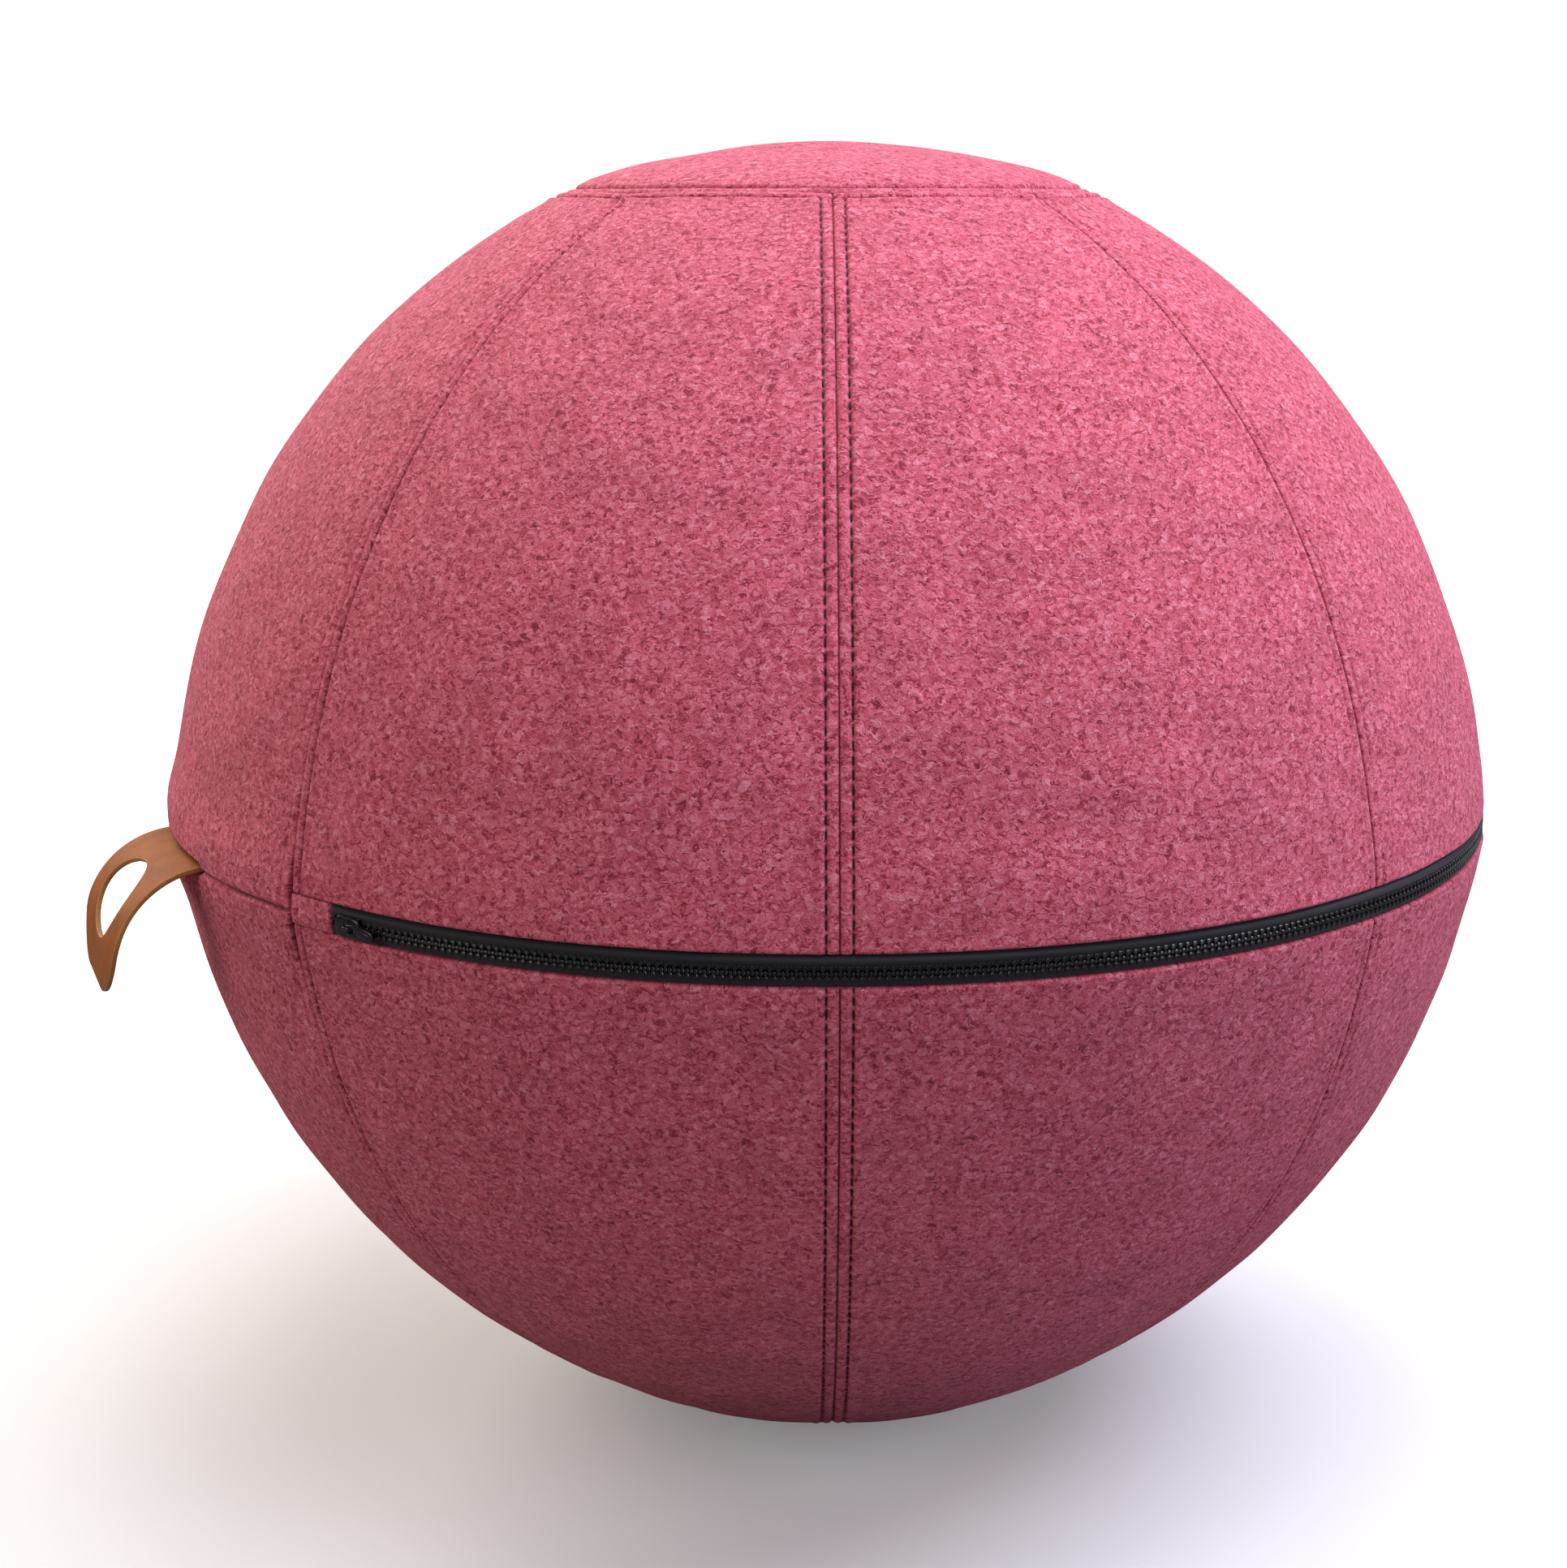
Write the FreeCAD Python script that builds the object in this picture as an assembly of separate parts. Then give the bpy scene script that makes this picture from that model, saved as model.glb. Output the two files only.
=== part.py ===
import FreeCAD, Part
import math
import os

# Felt-covered sitting ball: an inflated bladder inside a sewn felt cover with an equator zip.
# All lengths are millimetres. +Z is up and the origin is the centre of the floor contact patch.
# Azimuth 0 is the front (-Y) and grows towards +X. Heights in the profile count from the equator.

V = FreeCAD.Vector
UP = V(0, 0, 1)

# --- driving dimensions -------------------------------------------------------------------------
EQUATOR_Z = 295.0          # floor to equator plane
RIDGE_R = 310.0            # radius of the ridge that the equator seam makes
CONTACT_R = 50.0           # flat patch under the ball's own weight

UPPER_HIP = (305.3, 32.0)      # (radius, height) where the bowed panel meets the straight hip
UPPER_SEAM = (121.5, 281.2)    # top cap seam
UPPER_BOW_R = 334.0
CROWN_HEIGHT = 304.0

LOWER_HIP = (304.2, -32.0)
LOWER_SEAM = (117.8, -277.5)   # bottom cap seam
LOWER_BOW_R = 345.0
BOTTOM_CAP_BOW_R = 310.0

GORES = 8
GORE_ANGLE = 360.0 / GORES
FELT = 3.0                 # felt thickness
SEAM_GAP_ANGLE = 0.1       # groove between neighbouring panels, degrees
SEAM_GAP = 0.25            # half groove at the horizontal seams
ALLOWANCE = 10.0           # width of the felt turned in at a seam
TURNED_DEPTH = 6.0         # depth of the turned-in felt's inner face
TURN_SET_BACK = 0.9        # the turned-in felt starts this far from the seam plane
ZIP_CLEAR_HEIGHT = 16.0    # vertical allowances are trimmed off near the zip tape

THREAD_OFFSET = 5.0        # topstitch row to seam
THREAD_WIDTH = 0.6
THREAD_PROUD = 0.35
THREAD_LIFT = 0.02
THREAD_END = 2.0

ZIP_START, ZIP_END = -45.0, 135.0   # azimuths of the two vertical seams that bound the zip
ZIP_WINDOW = {1: 7.5, -1: 5.5}      # felt edge above (1) and below (-1) the equator plane
ZIP_FACING = 4.7           # degrees of felt facing at each end of the zip
FACING_DEPTHS = (0.0, 1.7)
TAPE_R = 308.5
TAPE_THICKNESS = 0.8
TAPE_HALF_GAP = 1.4
TAPE_FLAT = 4.2            # the tape lies flat up to this height, then dips under the felt
TAPE_HEIGHT = 14.0
TAPE_DEPTH = 3.35
TOOTH_PITCH = 3.25
TOOTH_LENGTH = 1.25
TOOTH_INNER_R, TOOTH_OUTER_R = 306.8, 309.4
TOOTH_REACH = (-0.9, 2.9)

SLIDER_LENGTH = 14.0
SLIDER_WIDTH = 8.8
SLIDER_AZIMUTH = -38.15
SLIDER_TOP = (309.9, 311.2)
SLIDER_BOTTOM = (304.8, 306.1)
SLIDER_WALL = 0.8
SLIDER_SLOT = (307.2, 309.0)
DIVIDER = (2.4, 1.9)       # length and width of the post that parts the teeth
BRIDGE_LENGTH, BRIDGE_WIDTH, BRIDGE_HEIGHT = 6.0, 1.6, 2.3
PULLER_LENGTH = 15.0
PULLER_WIDTH = 5.2
PULLER_THICKNESS = 1.3
PULLER_PIVOT_R = 312.25
PULLER_PIVOT_OFFSET = 1.2  # pivot ahead of the slider's middle

HANDLE_AZIMUTH = -67.5
LEATHER = 2.2
HANDLE_ROOT_R = 301.0
HANDLE_PIVOT_R = 313.2
HANDLE_GAP = 0.3
HANDLE_ROOT_WIDTH = 78.0
HANDLE_TIP_WIDTH = 90.0
HANDLE_BEND_R = 42.0
HANDLE_BEND_START_R = 305.3
HANDLE_BEND_ANGLE = 82.0
HANDLE_TIP_LENGTH = 18.0
HANDLE_CORNER_R = 24.0
SLOT_HALF_LENGTH = 18.4
SLOT_HALF_WIDTH = 25.0
SLOT_ANGLE = 54.6          # place of the slot's middle along the bend

BLADDER_DEPTH = 7.5
BLADDER_WALL = 0.8
BLADDER_EQUATOR_R = 300.0
VALVE_AZIMUTH = 45.0
VALVE_BOW_ANGLE = -18.0
VALVE_SEAT_R, VALVE_SEAT_THICKNESS = 13.0, 4.0
VALVE_HOLE_R = 4.0
PLUG_HEAD_R, PLUG_HEAD_THICKNESS = 7.0, 1.4
PLUG_LENGTH, PLUG_TIP_R, PLUG_PLAY = 20.0, 3.2, 0.05


# --- profile of the cover -----------------------------------------------------------------------
class Bow:
    """Arc between two profile points, with its centre on the ball's side."""

    def __init__(self, start, end, radius):
        middle = ((start[0] + end[0]) / 2, (start[1] + end[1]) / 2)
        run, rise = end[0] - start[0], end[1] - start[1]
        chord = math.hypot(run, rise)
        reach = math.sqrt(radius**2 - chord**2 / 4)
        sides = [(-rise / chord * s, run / chord * s) for s in (1, -1)]
        inward = min(sides, key=lambda n: n[0] * middle[0] + n[1] * middle[1])
        self.centre = (middle[0] + inward[0] * reach, middle[1] + inward[1] * reach)
        self.radius = radius
        self.start = self.angle(start)
        self.end = self.angle(end)

    def angle(self, point):
        return math.atan2(point[1] - self.centre[1], point[0] - self.centre[0])

    def at(self, angle, depth=0.0):
        """Point (radius, height) at an angle about the arc's centre, below the surface."""
        reach = self.radius - depth
        return (self.centre[0] + reach * math.cos(angle), self.centre[1] + reach * math.sin(angle))

    def along(self, length):
        """Angle that covers a length along the arc, signed from start to end."""
        return math.copysign(length / self.radius, self.end - self.start)


UPPER = Bow(UPPER_HIP, UPPER_SEAM, UPPER_BOW_R)
LOWER = Bow(LOWER_HIP, LOWER_SEAM, LOWER_BOW_R)
CROWN_R = (UPPER_SEAM[0] ** 2 + (CROWN_HEIGHT - UPPER_SEAM[1]) ** 2) / (
    2 * (CROWN_HEIGHT - UPPER_SEAM[1]))
CROWN = Bow(UPPER_SEAM, (0.0, CROWN_HEIGHT), CROWN_R)
SOLE = Bow(LOWER_SEAM, (CONTACT_R, -EQUATOR_Z), BOTTOM_CAP_BOW_R)


def hip_point(bow, height, depth=0.0):
    """Point of the straight hip at a height, below the surface."""
    hip = bow.at(bow.start)
    share = height / hip[1]
    return (RIDGE_R + (hip[0] - RIDGE_R) * share - depth, height)


def place(point):
    return V(point[0], 0, EQUATOR_Z + point[1])


def line(start, end):
    return Part.LineSegment(place(start), place(end)).toShape()


def arc(bow, start, end, depth):
    ends = [bow.at(a, depth) for a in (start, (start + end) / 2, end)]
    return Part.Arc(*[place(p) for p in ends]).toShape()


def face(edges):
    return Part.Face(Part.Wire(edges))


def turned(shape, azimuth):
    """Turn a shape made at azimuth 90 (the +X side) to the given azimuth."""
    copy = shape.copy()
    copy.rotate(V(0, 0, 0), UP, azimuth - 90.0)
    return copy


def spun(section, first, last):
    """Revolve a section from one azimuth to another."""
    return turned(section.revolve(V(0, 0, 0), UP, last - first), first)


def slab(first, last):
    """Everything at azimuth 90 whose distance from the seam plane is between two values."""
    size = 2 * RIDGE_R
    return Part.makeBox(size, last - first, 2 * size, V(1, first, -size / 2))


def export(name, solids):
    shape = solids[0] if len(solids) == 1 else Part.makeCompound(solids)
    shape.exportStep(os.path.join("parts", name + ".step"))


# --- felt panels --------------------------------------------------------------------------------
def gore_section(bow, edge, closed):
    """Section of a gore: felt layer, cap-seam allowance and, when closed, equator allowance."""
    side = math.copysign(1.0, bow.end)
    low, set_back = side * edge, side * (edge + TURN_SET_BACK)
    tip = bow.end - bow.along(SEAM_GAP)
    turn = tip - bow.along(TURN_SET_BACK)
    inner = turn - bow.along(ALLOWANCE)
    edges = [line(hip_point(bow, low), bow.at(bow.start)), arc(bow, bow.start, tip, 0.0)]
    edges += [line(bow.at(tip), bow.at(tip, FELT)), arc(bow, tip, turn, FELT)]
    edges += [line(bow.at(turn, FELT), bow.at(turn, TURNED_DEPTH))]
    edges += [arc(bow, turn, inner, TURNED_DEPTH)]
    edges += [line(bow.at(inner, TURNED_DEPTH), bow.at(inner, FELT))]
    edges += [arc(bow, inner, bow.start, FELT)]
    route = [bow.at(bow.start, FELT)]
    if closed:
        height = side * (edge + ALLOWANCE)
        route += [hip_point(bow, height, FELT), hip_point(bow, height, TURNED_DEPTH)]
        route += [hip_point(bow, set_back, TURNED_DEPTH), hip_point(bow, set_back, FELT)]
    route += [hip_point(bow, low, FELT), hip_point(bow, low)]
    edges += [line(a, b) for a, b in zip(route, route[1:])]
    return face(edges)


def allowance_section(bow):
    """Section of the felt turned in along a vertical seam, overlapping the felt layer."""
    side = math.copysign(1.0, bow.end)
    root, depth = FELT - 0.5, TURNED_DEPTH
    low = side * ZIP_CLEAR_HEIGHT
    tip = bow.end - bow.along(ALLOWANCE + 4 * TURN_SET_BACK)
    return face([
        line(hip_point(bow, low, root), bow.at(bow.start, root)),
        arc(bow, bow.start, tip, root),
        line(bow.at(tip, root), bow.at(tip, depth)),
        arc(bow, tip, bow.start, depth),
        line(bow.at(bow.start, depth), hip_point(bow, low, depth)),
        line(hip_point(bow, low, depth), hip_point(bow, low, root)),
    ])


def gore(bow, closed):
    """One gore between azimuth 0 and the next seam, with both side allowances."""
    edge = SEAM_GAP if closed else ZIP_WINDOW[math.copysign(1, bow.end)]
    half_gap = SEAM_GAP_ANGLE / 2
    body = spun(gore_section(bow, edge, closed), half_gap, GORE_ANGLE - half_gap)
    strip = spun(allowance_section(bow), 90 - GORE_ANGLE / 2, 90 + GORE_ANGLE / 2)
    after = strip.common(slab(TURN_SET_BACK, ALLOWANCE))
    before = strip.common(slab(-ALLOWANCE, -TURN_SET_BACK))
    return body.fuse([turned(after, 0.0), turned(before, GORE_ANGLE)]).Solids[0]


def has_zip(first):
    return ZIP_START <= first < ZIP_END


def handle_notch():
    """Room that the felt edges leave for the handle's sewn-in root."""
    half = HANDLE_ROOT_WIDTH / 2 + HANDLE_GAP
    thick = LEATHER / 2 + HANDLE_GAP
    room = Part.makeBox(20.0, 2 * half, 2 * thick, V(RIDGE_R - 12.0, -half, EQUATOR_Z - thick))
    return turned(room, HANDLE_AZIMUTH)


def make_gores(name, bow):
    """Eight gores, numbered from the seam at azimuth 0 towards +X."""
    kinds = {closed: gore(bow, closed) for closed in (True, False)}
    for number in range(GORES):
        first = number * GORE_ANGLE
        first -= 360.0 if first >= 180.0 else 0.0
        panel = kinds[not has_zip(first)].copy()
        panel.rotate(V(0, 0, 0), UP, first)
        if first < HANDLE_AZIMUTH < first + GORE_ANGLE:
            panel = panel.cut(handle_notch()).Solids[0]
        export(f"{name}_gore_{number + 1}", [panel])


def make_top_cap():
    edge = CROWN.start + CROWN.along(SEAM_GAP)
    turn = edge + CROWN.along(TURN_SET_BACK)
    inner = turn + CROWN.along(ALLOWANCE)
    section = face([
        arc(CROWN, edge, CROWN.end, 0.0),
        line(CROWN.at(CROWN.end), CROWN.at(CROWN.end, FELT)),
        arc(CROWN, CROWN.end, inner, FELT),
        line(CROWN.at(inner, FELT), CROWN.at(inner, TURNED_DEPTH)),
        arc(CROWN, inner, turn, TURNED_DEPTH),
        line(CROWN.at(turn, TURNED_DEPTH), CROWN.at(turn, FELT)),
        arc(CROWN, turn, edge, FELT),
        line(CROWN.at(edge, FELT), CROWN.at(edge)),
    ])
    export("top_cap", [spun(section, 0, 360)])


def make_bottom_cap():
    edge = SOLE.start + SOLE.along(SEAM_GAP)
    turn = edge + SOLE.along(TURN_SET_BACK)
    inner = turn + SOLE.along(ALLOWANCE)
    rim = SOLE.at(SOLE.end, FELT)
    floor, inside = -EQUATOR_Z, rim[1]
    section = face([
        arc(SOLE, edge, SOLE.end, 0.0),
        line((CONTACT_R, floor), (0.0, floor)),
        line((0.0, floor), (0.0, inside)),
        line((0.0, inside), rim),
        arc(SOLE, SOLE.end, inner, FELT),
        line(SOLE.at(inner, FELT), SOLE.at(inner, TURNED_DEPTH)),
        arc(SOLE, inner, turn, TURNED_DEPTH),
        line(SOLE.at(turn, TURNED_DEPTH), SOLE.at(turn, FELT)),
        arc(SOLE, turn, edge, FELT),
        line(SOLE.at(edge, FELT), SOLE.at(edge)),
    ])
    export("bottom_cap", [spun(section, 0, 360)])


# --- topstitching -------------------------------------------------------------------------------
def vertical_thread(bow, edge):
    """The two topstitch rows beside one vertical seam, at azimuth 90."""
    side = math.copysign(1.0, bow.end)
    low = side * (edge + THREAD_END)
    tip = bow.end - bow.along(THREAD_OFFSET + THREAD_END)
    under, over = -THREAD_LIFT, -THREAD_PROUD
    section = face([
        line(hip_point(bow, low, under), bow.at(bow.start, under)),
        arc(bow, bow.start, tip, under),
        line(bow.at(tip, under), bow.at(tip, over)),
        arc(bow, tip, bow.start, over),
        line(bow.at(bow.start, over), hip_point(bow, low, over)),
        line(hip_point(bow, low, over), hip_point(bow, low, under)),
    ])
    skin = spun(section, 90 - GORE_ANGLE / 2, 90 + GORE_ANGLE / 2)
    half = THREAD_WIDTH / 2
    rows = [(s * THREAD_OFFSET - half, s * THREAD_OFFSET + half) for s in (-1, 1)]
    return [skin.common(slab(*row)).Solids[0] for row in rows]


def ring_thread(bow, middle):
    """One topstitch row all round, at an angle on a bowed panel."""
    half = abs(bow.along(THREAD_WIDTH / 2))
    first, last = middle - half, middle + half
    under, over = -THREAD_LIFT, -THREAD_PROUD
    return spun(face([
        arc(bow, first, last, under),
        line(bow.at(last, under), bow.at(last, over)),
        arc(bow, last, first, over),
        line(bow.at(first, over), bow.at(first, under)),
    ]), 0, 360)


def make_threads():
    for name, bow, cap in (("upper", UPPER, CROWN), ("lower", LOWER, SOLE)):
        rows = vertical_thread(bow, ZIP_WINDOW[math.copysign(1, bow.end)])
        seams = [turned(row, number * GORE_ANGLE) for number in range(GORES) for row in rows]
        export(name + "_seam_thread", seams)
        on_gores = ring_thread(bow, bow.end - bow.along(THREAD_OFFSET))
        on_cap = ring_thread(cap, cap.start + cap.along(THREAD_OFFSET))
        export(("top" if cap is CROWN else "bottom") + "_cap_thread", [on_gores, on_cap])


# --- zip ----------------------------------------------------------------------------------------
def tangent_box(azimuth, radii, along, heights):
    """Box at an azimuth: radial span, span along the equator and span in height."""
    box = Part.makeBox(radii[1] - radii[0], along[1] - along[0], heights[1] - heights[0],
                       V(radii[0], along[0], EQUATOR_Z + heights[0]))
    return turned(box, azimuth)


def make_zip_tape(name, bow):
    side = math.copysign(1.0, bow.end)
    edge = ZIP_WINDOW[side]
    bend = [(TAPE_R, side * TAPE_HALF_GAP), (TAPE_R, side * TAPE_FLAT),
            hip_point(bow, side * (edge + 0.1), TAPE_DEPTH),
            hip_point(bow, side * TAPE_HEIGHT, TAPE_DEPTH)]
    back = [(r - TAPE_THICKNESS, h) for r, h in reversed(bend)]
    route = bend + back + bend[:1]
    section = face([line(a, b) for a, b in zip(route, route[1:])])
    ends = (ZIP_START + ZIP_FACING + 0.06, ZIP_END - ZIP_FACING - 0.06)
    export(name, [spun(section, *ends)])


def tooth_azimuths(start, shift):
    """Azimuths of one row of teeth, from the slider to the retainer."""
    chain_r = (TOOTH_INNER_R + TOOTH_OUTER_R) / 2
    step = math.degrees(TOOTH_PITCH / chain_r)
    last = ZIP_END - ZIP_FACING - 1.2
    count = int((last - start) / step)
    return [start + (number + shift) * step for number in range(count)]


def make_zip_teeth():
    start = SLIDER_AZIMUTH + 0.1
    for name, side, shift in (("zip_teeth_upper", 1, 0.0), ("zip_teeth_lower", -1, 0.5)):
        heights = sorted(side * h for h in TOOTH_REACH)
        half = TOOTH_LENGTH / 2
        tooth = ((TOOTH_INNER_R, TOOTH_OUTER_R), (-half, half), heights)
        export(name, [tangent_box(a, *tooth) for a in tooth_azimuths(start, shift)])


def make_zip_stops():
    """Two end stops beside the closed slider and one retainer at the far end of the chain."""
    azimuth = ZIP_START + ZIP_FACING + 0.35
    reach = (TOOTH_INNER_R, TOOTH_OUTER_R)
    stops = [tangent_box(azimuth, reach, (-0.9, 0.9), sorted((s * 1.0, s * 3.4))) for s in (1, -1)]
    export("zip_end_stops", stops)
    azimuth = ZIP_END - ZIP_FACING - 0.6
    export("zip_retainer", [tangent_box(azimuth, reach, (-1.6, 1.6), (-3.4, 3.4))])


def make_zip_facings():
    """Felt that fills the window between each end of the zip and the next vertical seam."""
    above, below = ZIP_WINDOW[1] - SEAM_GAP, ZIP_WINDOW[-1] - SEAM_GAP
    for name, first, last in (("zip_facing_left", ZIP_START, ZIP_START + ZIP_FACING),
                              ("zip_facing_right", ZIP_END - ZIP_FACING, ZIP_END)):
        top, under = FACING_DEPTHS
        outer = [hip_point(LOWER, -below, top), (RIDGE_R - top, 0.0), hip_point(UPPER, above, top)]
        inner = [hip_point(UPPER, above, under), (RIDGE_R - under, 0.0),
                 hip_point(LOWER, -below, under)]
        route = outer + inner + outer[:1]
        section = face([line(a, b) for a, b in zip(route, route[1:])])
        half_gap = SEAM_GAP_ANGLE / 2
        export(name, [spun(section, first + half_gap, last - half_gap)])


def slider_shape():
    """Slider at azimuth 90: two plates, side walls with a tape slot, divider post and bridge."""
    half, wide = SLIDER_LENGTH / 2, SLIDER_WIDTH / 2
    base = Part.makeBox(SLIDER_TOP[1] - SLIDER_BOTTOM[0], SLIDER_LENGTH, SLIDER_WIDTH,
                        V(SLIDER_BOTTOM[0], -half, EQUATOR_Z - wide))
    ends = [e for e in base.Edges if abs(e.Vertexes[0].Y) == abs(e.Vertexes[1].Y) == half
            and abs(e.Vertexes[0].Y - e.Vertexes[1].Y) < 1e-6
            and abs(e.Vertexes[0].Z - e.Vertexes[1].Z) < 1e-6]
    base = base.makeFillet(1.8, ends)
    clear = wide - SLIDER_WALL
    channel = Part.makeBox(SLIDER_TOP[0] - SLIDER_BOTTOM[1], 2 * SLIDER_LENGTH, 2 * clear,
                           V(SLIDER_BOTTOM[1], -SLIDER_LENGTH, EQUATOR_Z - clear))
    slot = Part.makeBox(SLIDER_SLOT[1] - SLIDER_SLOT[0], 2 * SLIDER_LENGTH, 4 * wide,
                        V(SLIDER_SLOT[0], -SLIDER_LENGTH, EQUATOR_Z - 2 * wide))
    post = Part.makeBox(SLIDER_TOP[0] - SLIDER_BOTTOM[1] + 1.0, DIVIDER[0], DIVIDER[1],
                        V(SLIDER_BOTTOM[1] - 0.5, -half + 1.0, EQUATOR_Z - DIVIDER[1] / 2))
    bridge = Part.makeBox(BRIDGE_HEIGHT + 0.3, BRIDGE_LENGTH, BRIDGE_WIDTH,
                          V(SLIDER_TOP[1] - 0.3, PULLER_PIVOT_OFFSET - BRIDGE_LENGTH / 2,
                            EQUATOR_Z - BRIDGE_WIDTH / 2))
    hole = Part.makeCylinder(1.0, 2 * SLIDER_WIDTH,
                             V(PULLER_PIVOT_R, PULLER_PIVOT_OFFSET, EQUATOR_Z - SLIDER_WIDTH), UP)
    return base.cut([channel, slot]).fuse([post, bridge]).cut(hole).Solids[0]


def puller_shape():
    """Puller at azimuth 90, lying along +Y over the chain, hung on a pin through the bridge."""
    half = PULLER_WIDTH / 2
    pivot = V(PULLER_PIVOT_R, PULLER_PIVOT_OFFSET, EQUATOR_Z)
    plate = Part.makeBox(PULLER_THICKNESS, PULLER_LENGTH, PULLER_WIDTH,
                         pivot - V(PULLER_THICKNESS / 2, 0, half))
    tips = [e for e in plate.Edges if abs(e.Vertexes[0].Z - e.Vertexes[1].Z) < 1e-6
            and min(v.Y for v in e.Vertexes) > pivot.y + PULLER_LENGTH - 1e-6]
    plate = plate.makeFillet(0.4, tips)
    window = BRIDGE_WIDTH / 2 + 0.3
    gap = Part.makeBox(4.0, BRIDGE_LENGTH / 2 + 2.2, 2 * window,
                       pivot - V(2.0, 1.5, window))
    pin = Part.makeCylinder(0.65, PULLER_WIDTH, pivot - V(0, 0, half), UP)
    return plate.cut(gap).fuse(pin).Solids[0]


def make_slider():
    export("zip_slider", [turned(slider_shape(), SLIDER_AZIMUTH)])
    export("zip_puller", [turned(puller_shape(), SLIDER_AZIMUTH)])


# --- leather handle -----------------------------------------------------------------------------
def handle_strip():
    """The bent leather, wider than needed, at azimuth 90."""
    start = HANDLE_BEND_START_R
    centre = (start, -HANDLE_BEND_R)
    half = LEATHER / 2
    knuckle = math.radians(90.0) - math.asin((HANDLE_PIVOT_R - start) / HANDLE_BEND_R)
    last = math.radians(90.0 - HANDLE_BEND_ANGLE)

    def on_bend(angle, reach):
        return (centre[0] + reach * math.cos(angle), centre[1] + reach * math.sin(angle))

    def on_tip(reach):
        turn = on_bend(last, reach)
        return (turn[0] + HANDLE_TIP_LENGTH * math.sin(last),
                turn[1] - HANDLE_TIP_LENGTH * math.cos(last))

    def bend(first, end, reach):
        angles = (first, (first + end) / 2, end)
        return Part.Arc(*[place(on_bend(a, reach)) for a in angles]).toShape()

    outer, inner = HANDLE_BEND_R + half, HANDLE_BEND_R - half
    section = face([
        bend(knuckle, last, outer), line(on_bend(last, outer), on_tip(outer)),
        line(on_tip(outer), on_tip(inner)), line(on_tip(inner), on_bend(last, inner)),
        bend(last, knuckle, inner), line(on_bend(knuckle, inner), on_bend(knuckle, outer)),
    ])
    wide = 2 * HANDLE_TIP_WIDTH
    strip = section.extrude(V(0, wide, 0))
    strip.translate(V(0, -wide / 2, 0))
    return strip, on_bend(knuckle, HANDLE_BEND_R)


def planform(length):
    """Outline of the tab seen square to its chord: slightly flared, with a rounded tip."""
    root, tip, corner = HANDLE_ROOT_WIDTH / 2, HANDLE_TIP_WIDTH / 2, HANDLE_CORNER_R
    over = length + 4.0
    outline = [V(-8, -root, 0), V(length, -tip, 0), V(over, -tip, 0),
               V(over, tip, 0), V(length, tip, 0), V(-8, root, 0)]
    block = Part.Face(Part.makePolygon(outline + outline[:1])).extrude(V(0, 0, 160))
    middle = V(length - corner, 0, 0)
    nose = Part.makeBox(corner + 4, 2 * tip, 160, V(length - corner, -tip, 0))
    core = Part.makeBox(corner, 2 * (tip - corner), 160, V(length - corner, corner - tip, 0))
    rounds = [Part.makeCylinder(corner, 160, middle + V(0, s * (tip - corner), 0)) for s in (-1, 1)]
    return block.cut(nose.cut([core] + rounds))


def make_handle():
    strip, root = handle_strip()
    slope = math.radians(SLOT_ANGLE)
    along = V(math.cos(slope), 0, -math.sin(slope))
    pivot = V(root[0], 0, EQUATOR_Z + root[1])
    bend_end = math.radians(90.0 - HANDLE_BEND_ANGLE)
    tip = V(HANDLE_BEND_START_R + HANDLE_BEND_R * math.cos(bend_end)
            + HANDLE_TIP_LENGTH * math.sin(bend_end), 0,
            EQUATOR_Z - HANDLE_BEND_R + HANDLE_BEND_R * math.sin(bend_end)
            - HANDLE_TIP_LENGTH * math.cos(bend_end))
    square = FreeCAD.Rotation(along, V(0, 1, 0), V(0, 0, 0), "XYZ")
    cutter = planform((tip - pivot).dot(along))
    cutter.translate(V(0, 0, -80))
    cutter.Placement = FreeCAD.Placement(pivot, square).multiply(cutter.Placement)
    turn = math.radians(90.0 - SLOT_ANGLE)
    middle = V(HANDLE_BEND_START_R + HANDLE_BEND_R * math.cos(turn), 0,
               EQUATOR_Z - HANDLE_BEND_R + HANDLE_BEND_R * math.sin(turn))
    oval = Part.Ellipse(V(0, 0, 0), SLOT_HALF_WIDTH, SLOT_HALF_LENGTH).toShape()
    oval.rotate(V(0, 0, 0), UP, 90)
    slot = Part.Face(Part.Wire(oval)).extrude(V(0, 0, 60))
    slot.translate(V(0, 0, -30))
    slot.Placement = FreeCAD.Placement(middle, square).multiply(slot.Placement)
    knuckle = Part.makeCylinder(LEATHER / 2, HANDLE_ROOT_WIDTH,
                                pivot - V(0, HANDLE_ROOT_WIDTH / 2, 0), V(0, 1, 0))
    tab = strip.common(cutter).cut(slot).fuse(knuckle).Solids[0]
    export("handle_tab", [turned(tab, HANDLE_AZIMUTH)])
    outer = HANDLE_PIVOT_R - LEATHER / 2 - HANDLE_GAP
    half = HANDLE_ROOT_WIDTH / 2
    export("handle_root", [tangent_box(HANDLE_AZIMUTH, (HANDLE_ROOT_R, outer), (-half, half),
                                       (-LEATHER / 2, LEATHER / 2))])


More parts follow.
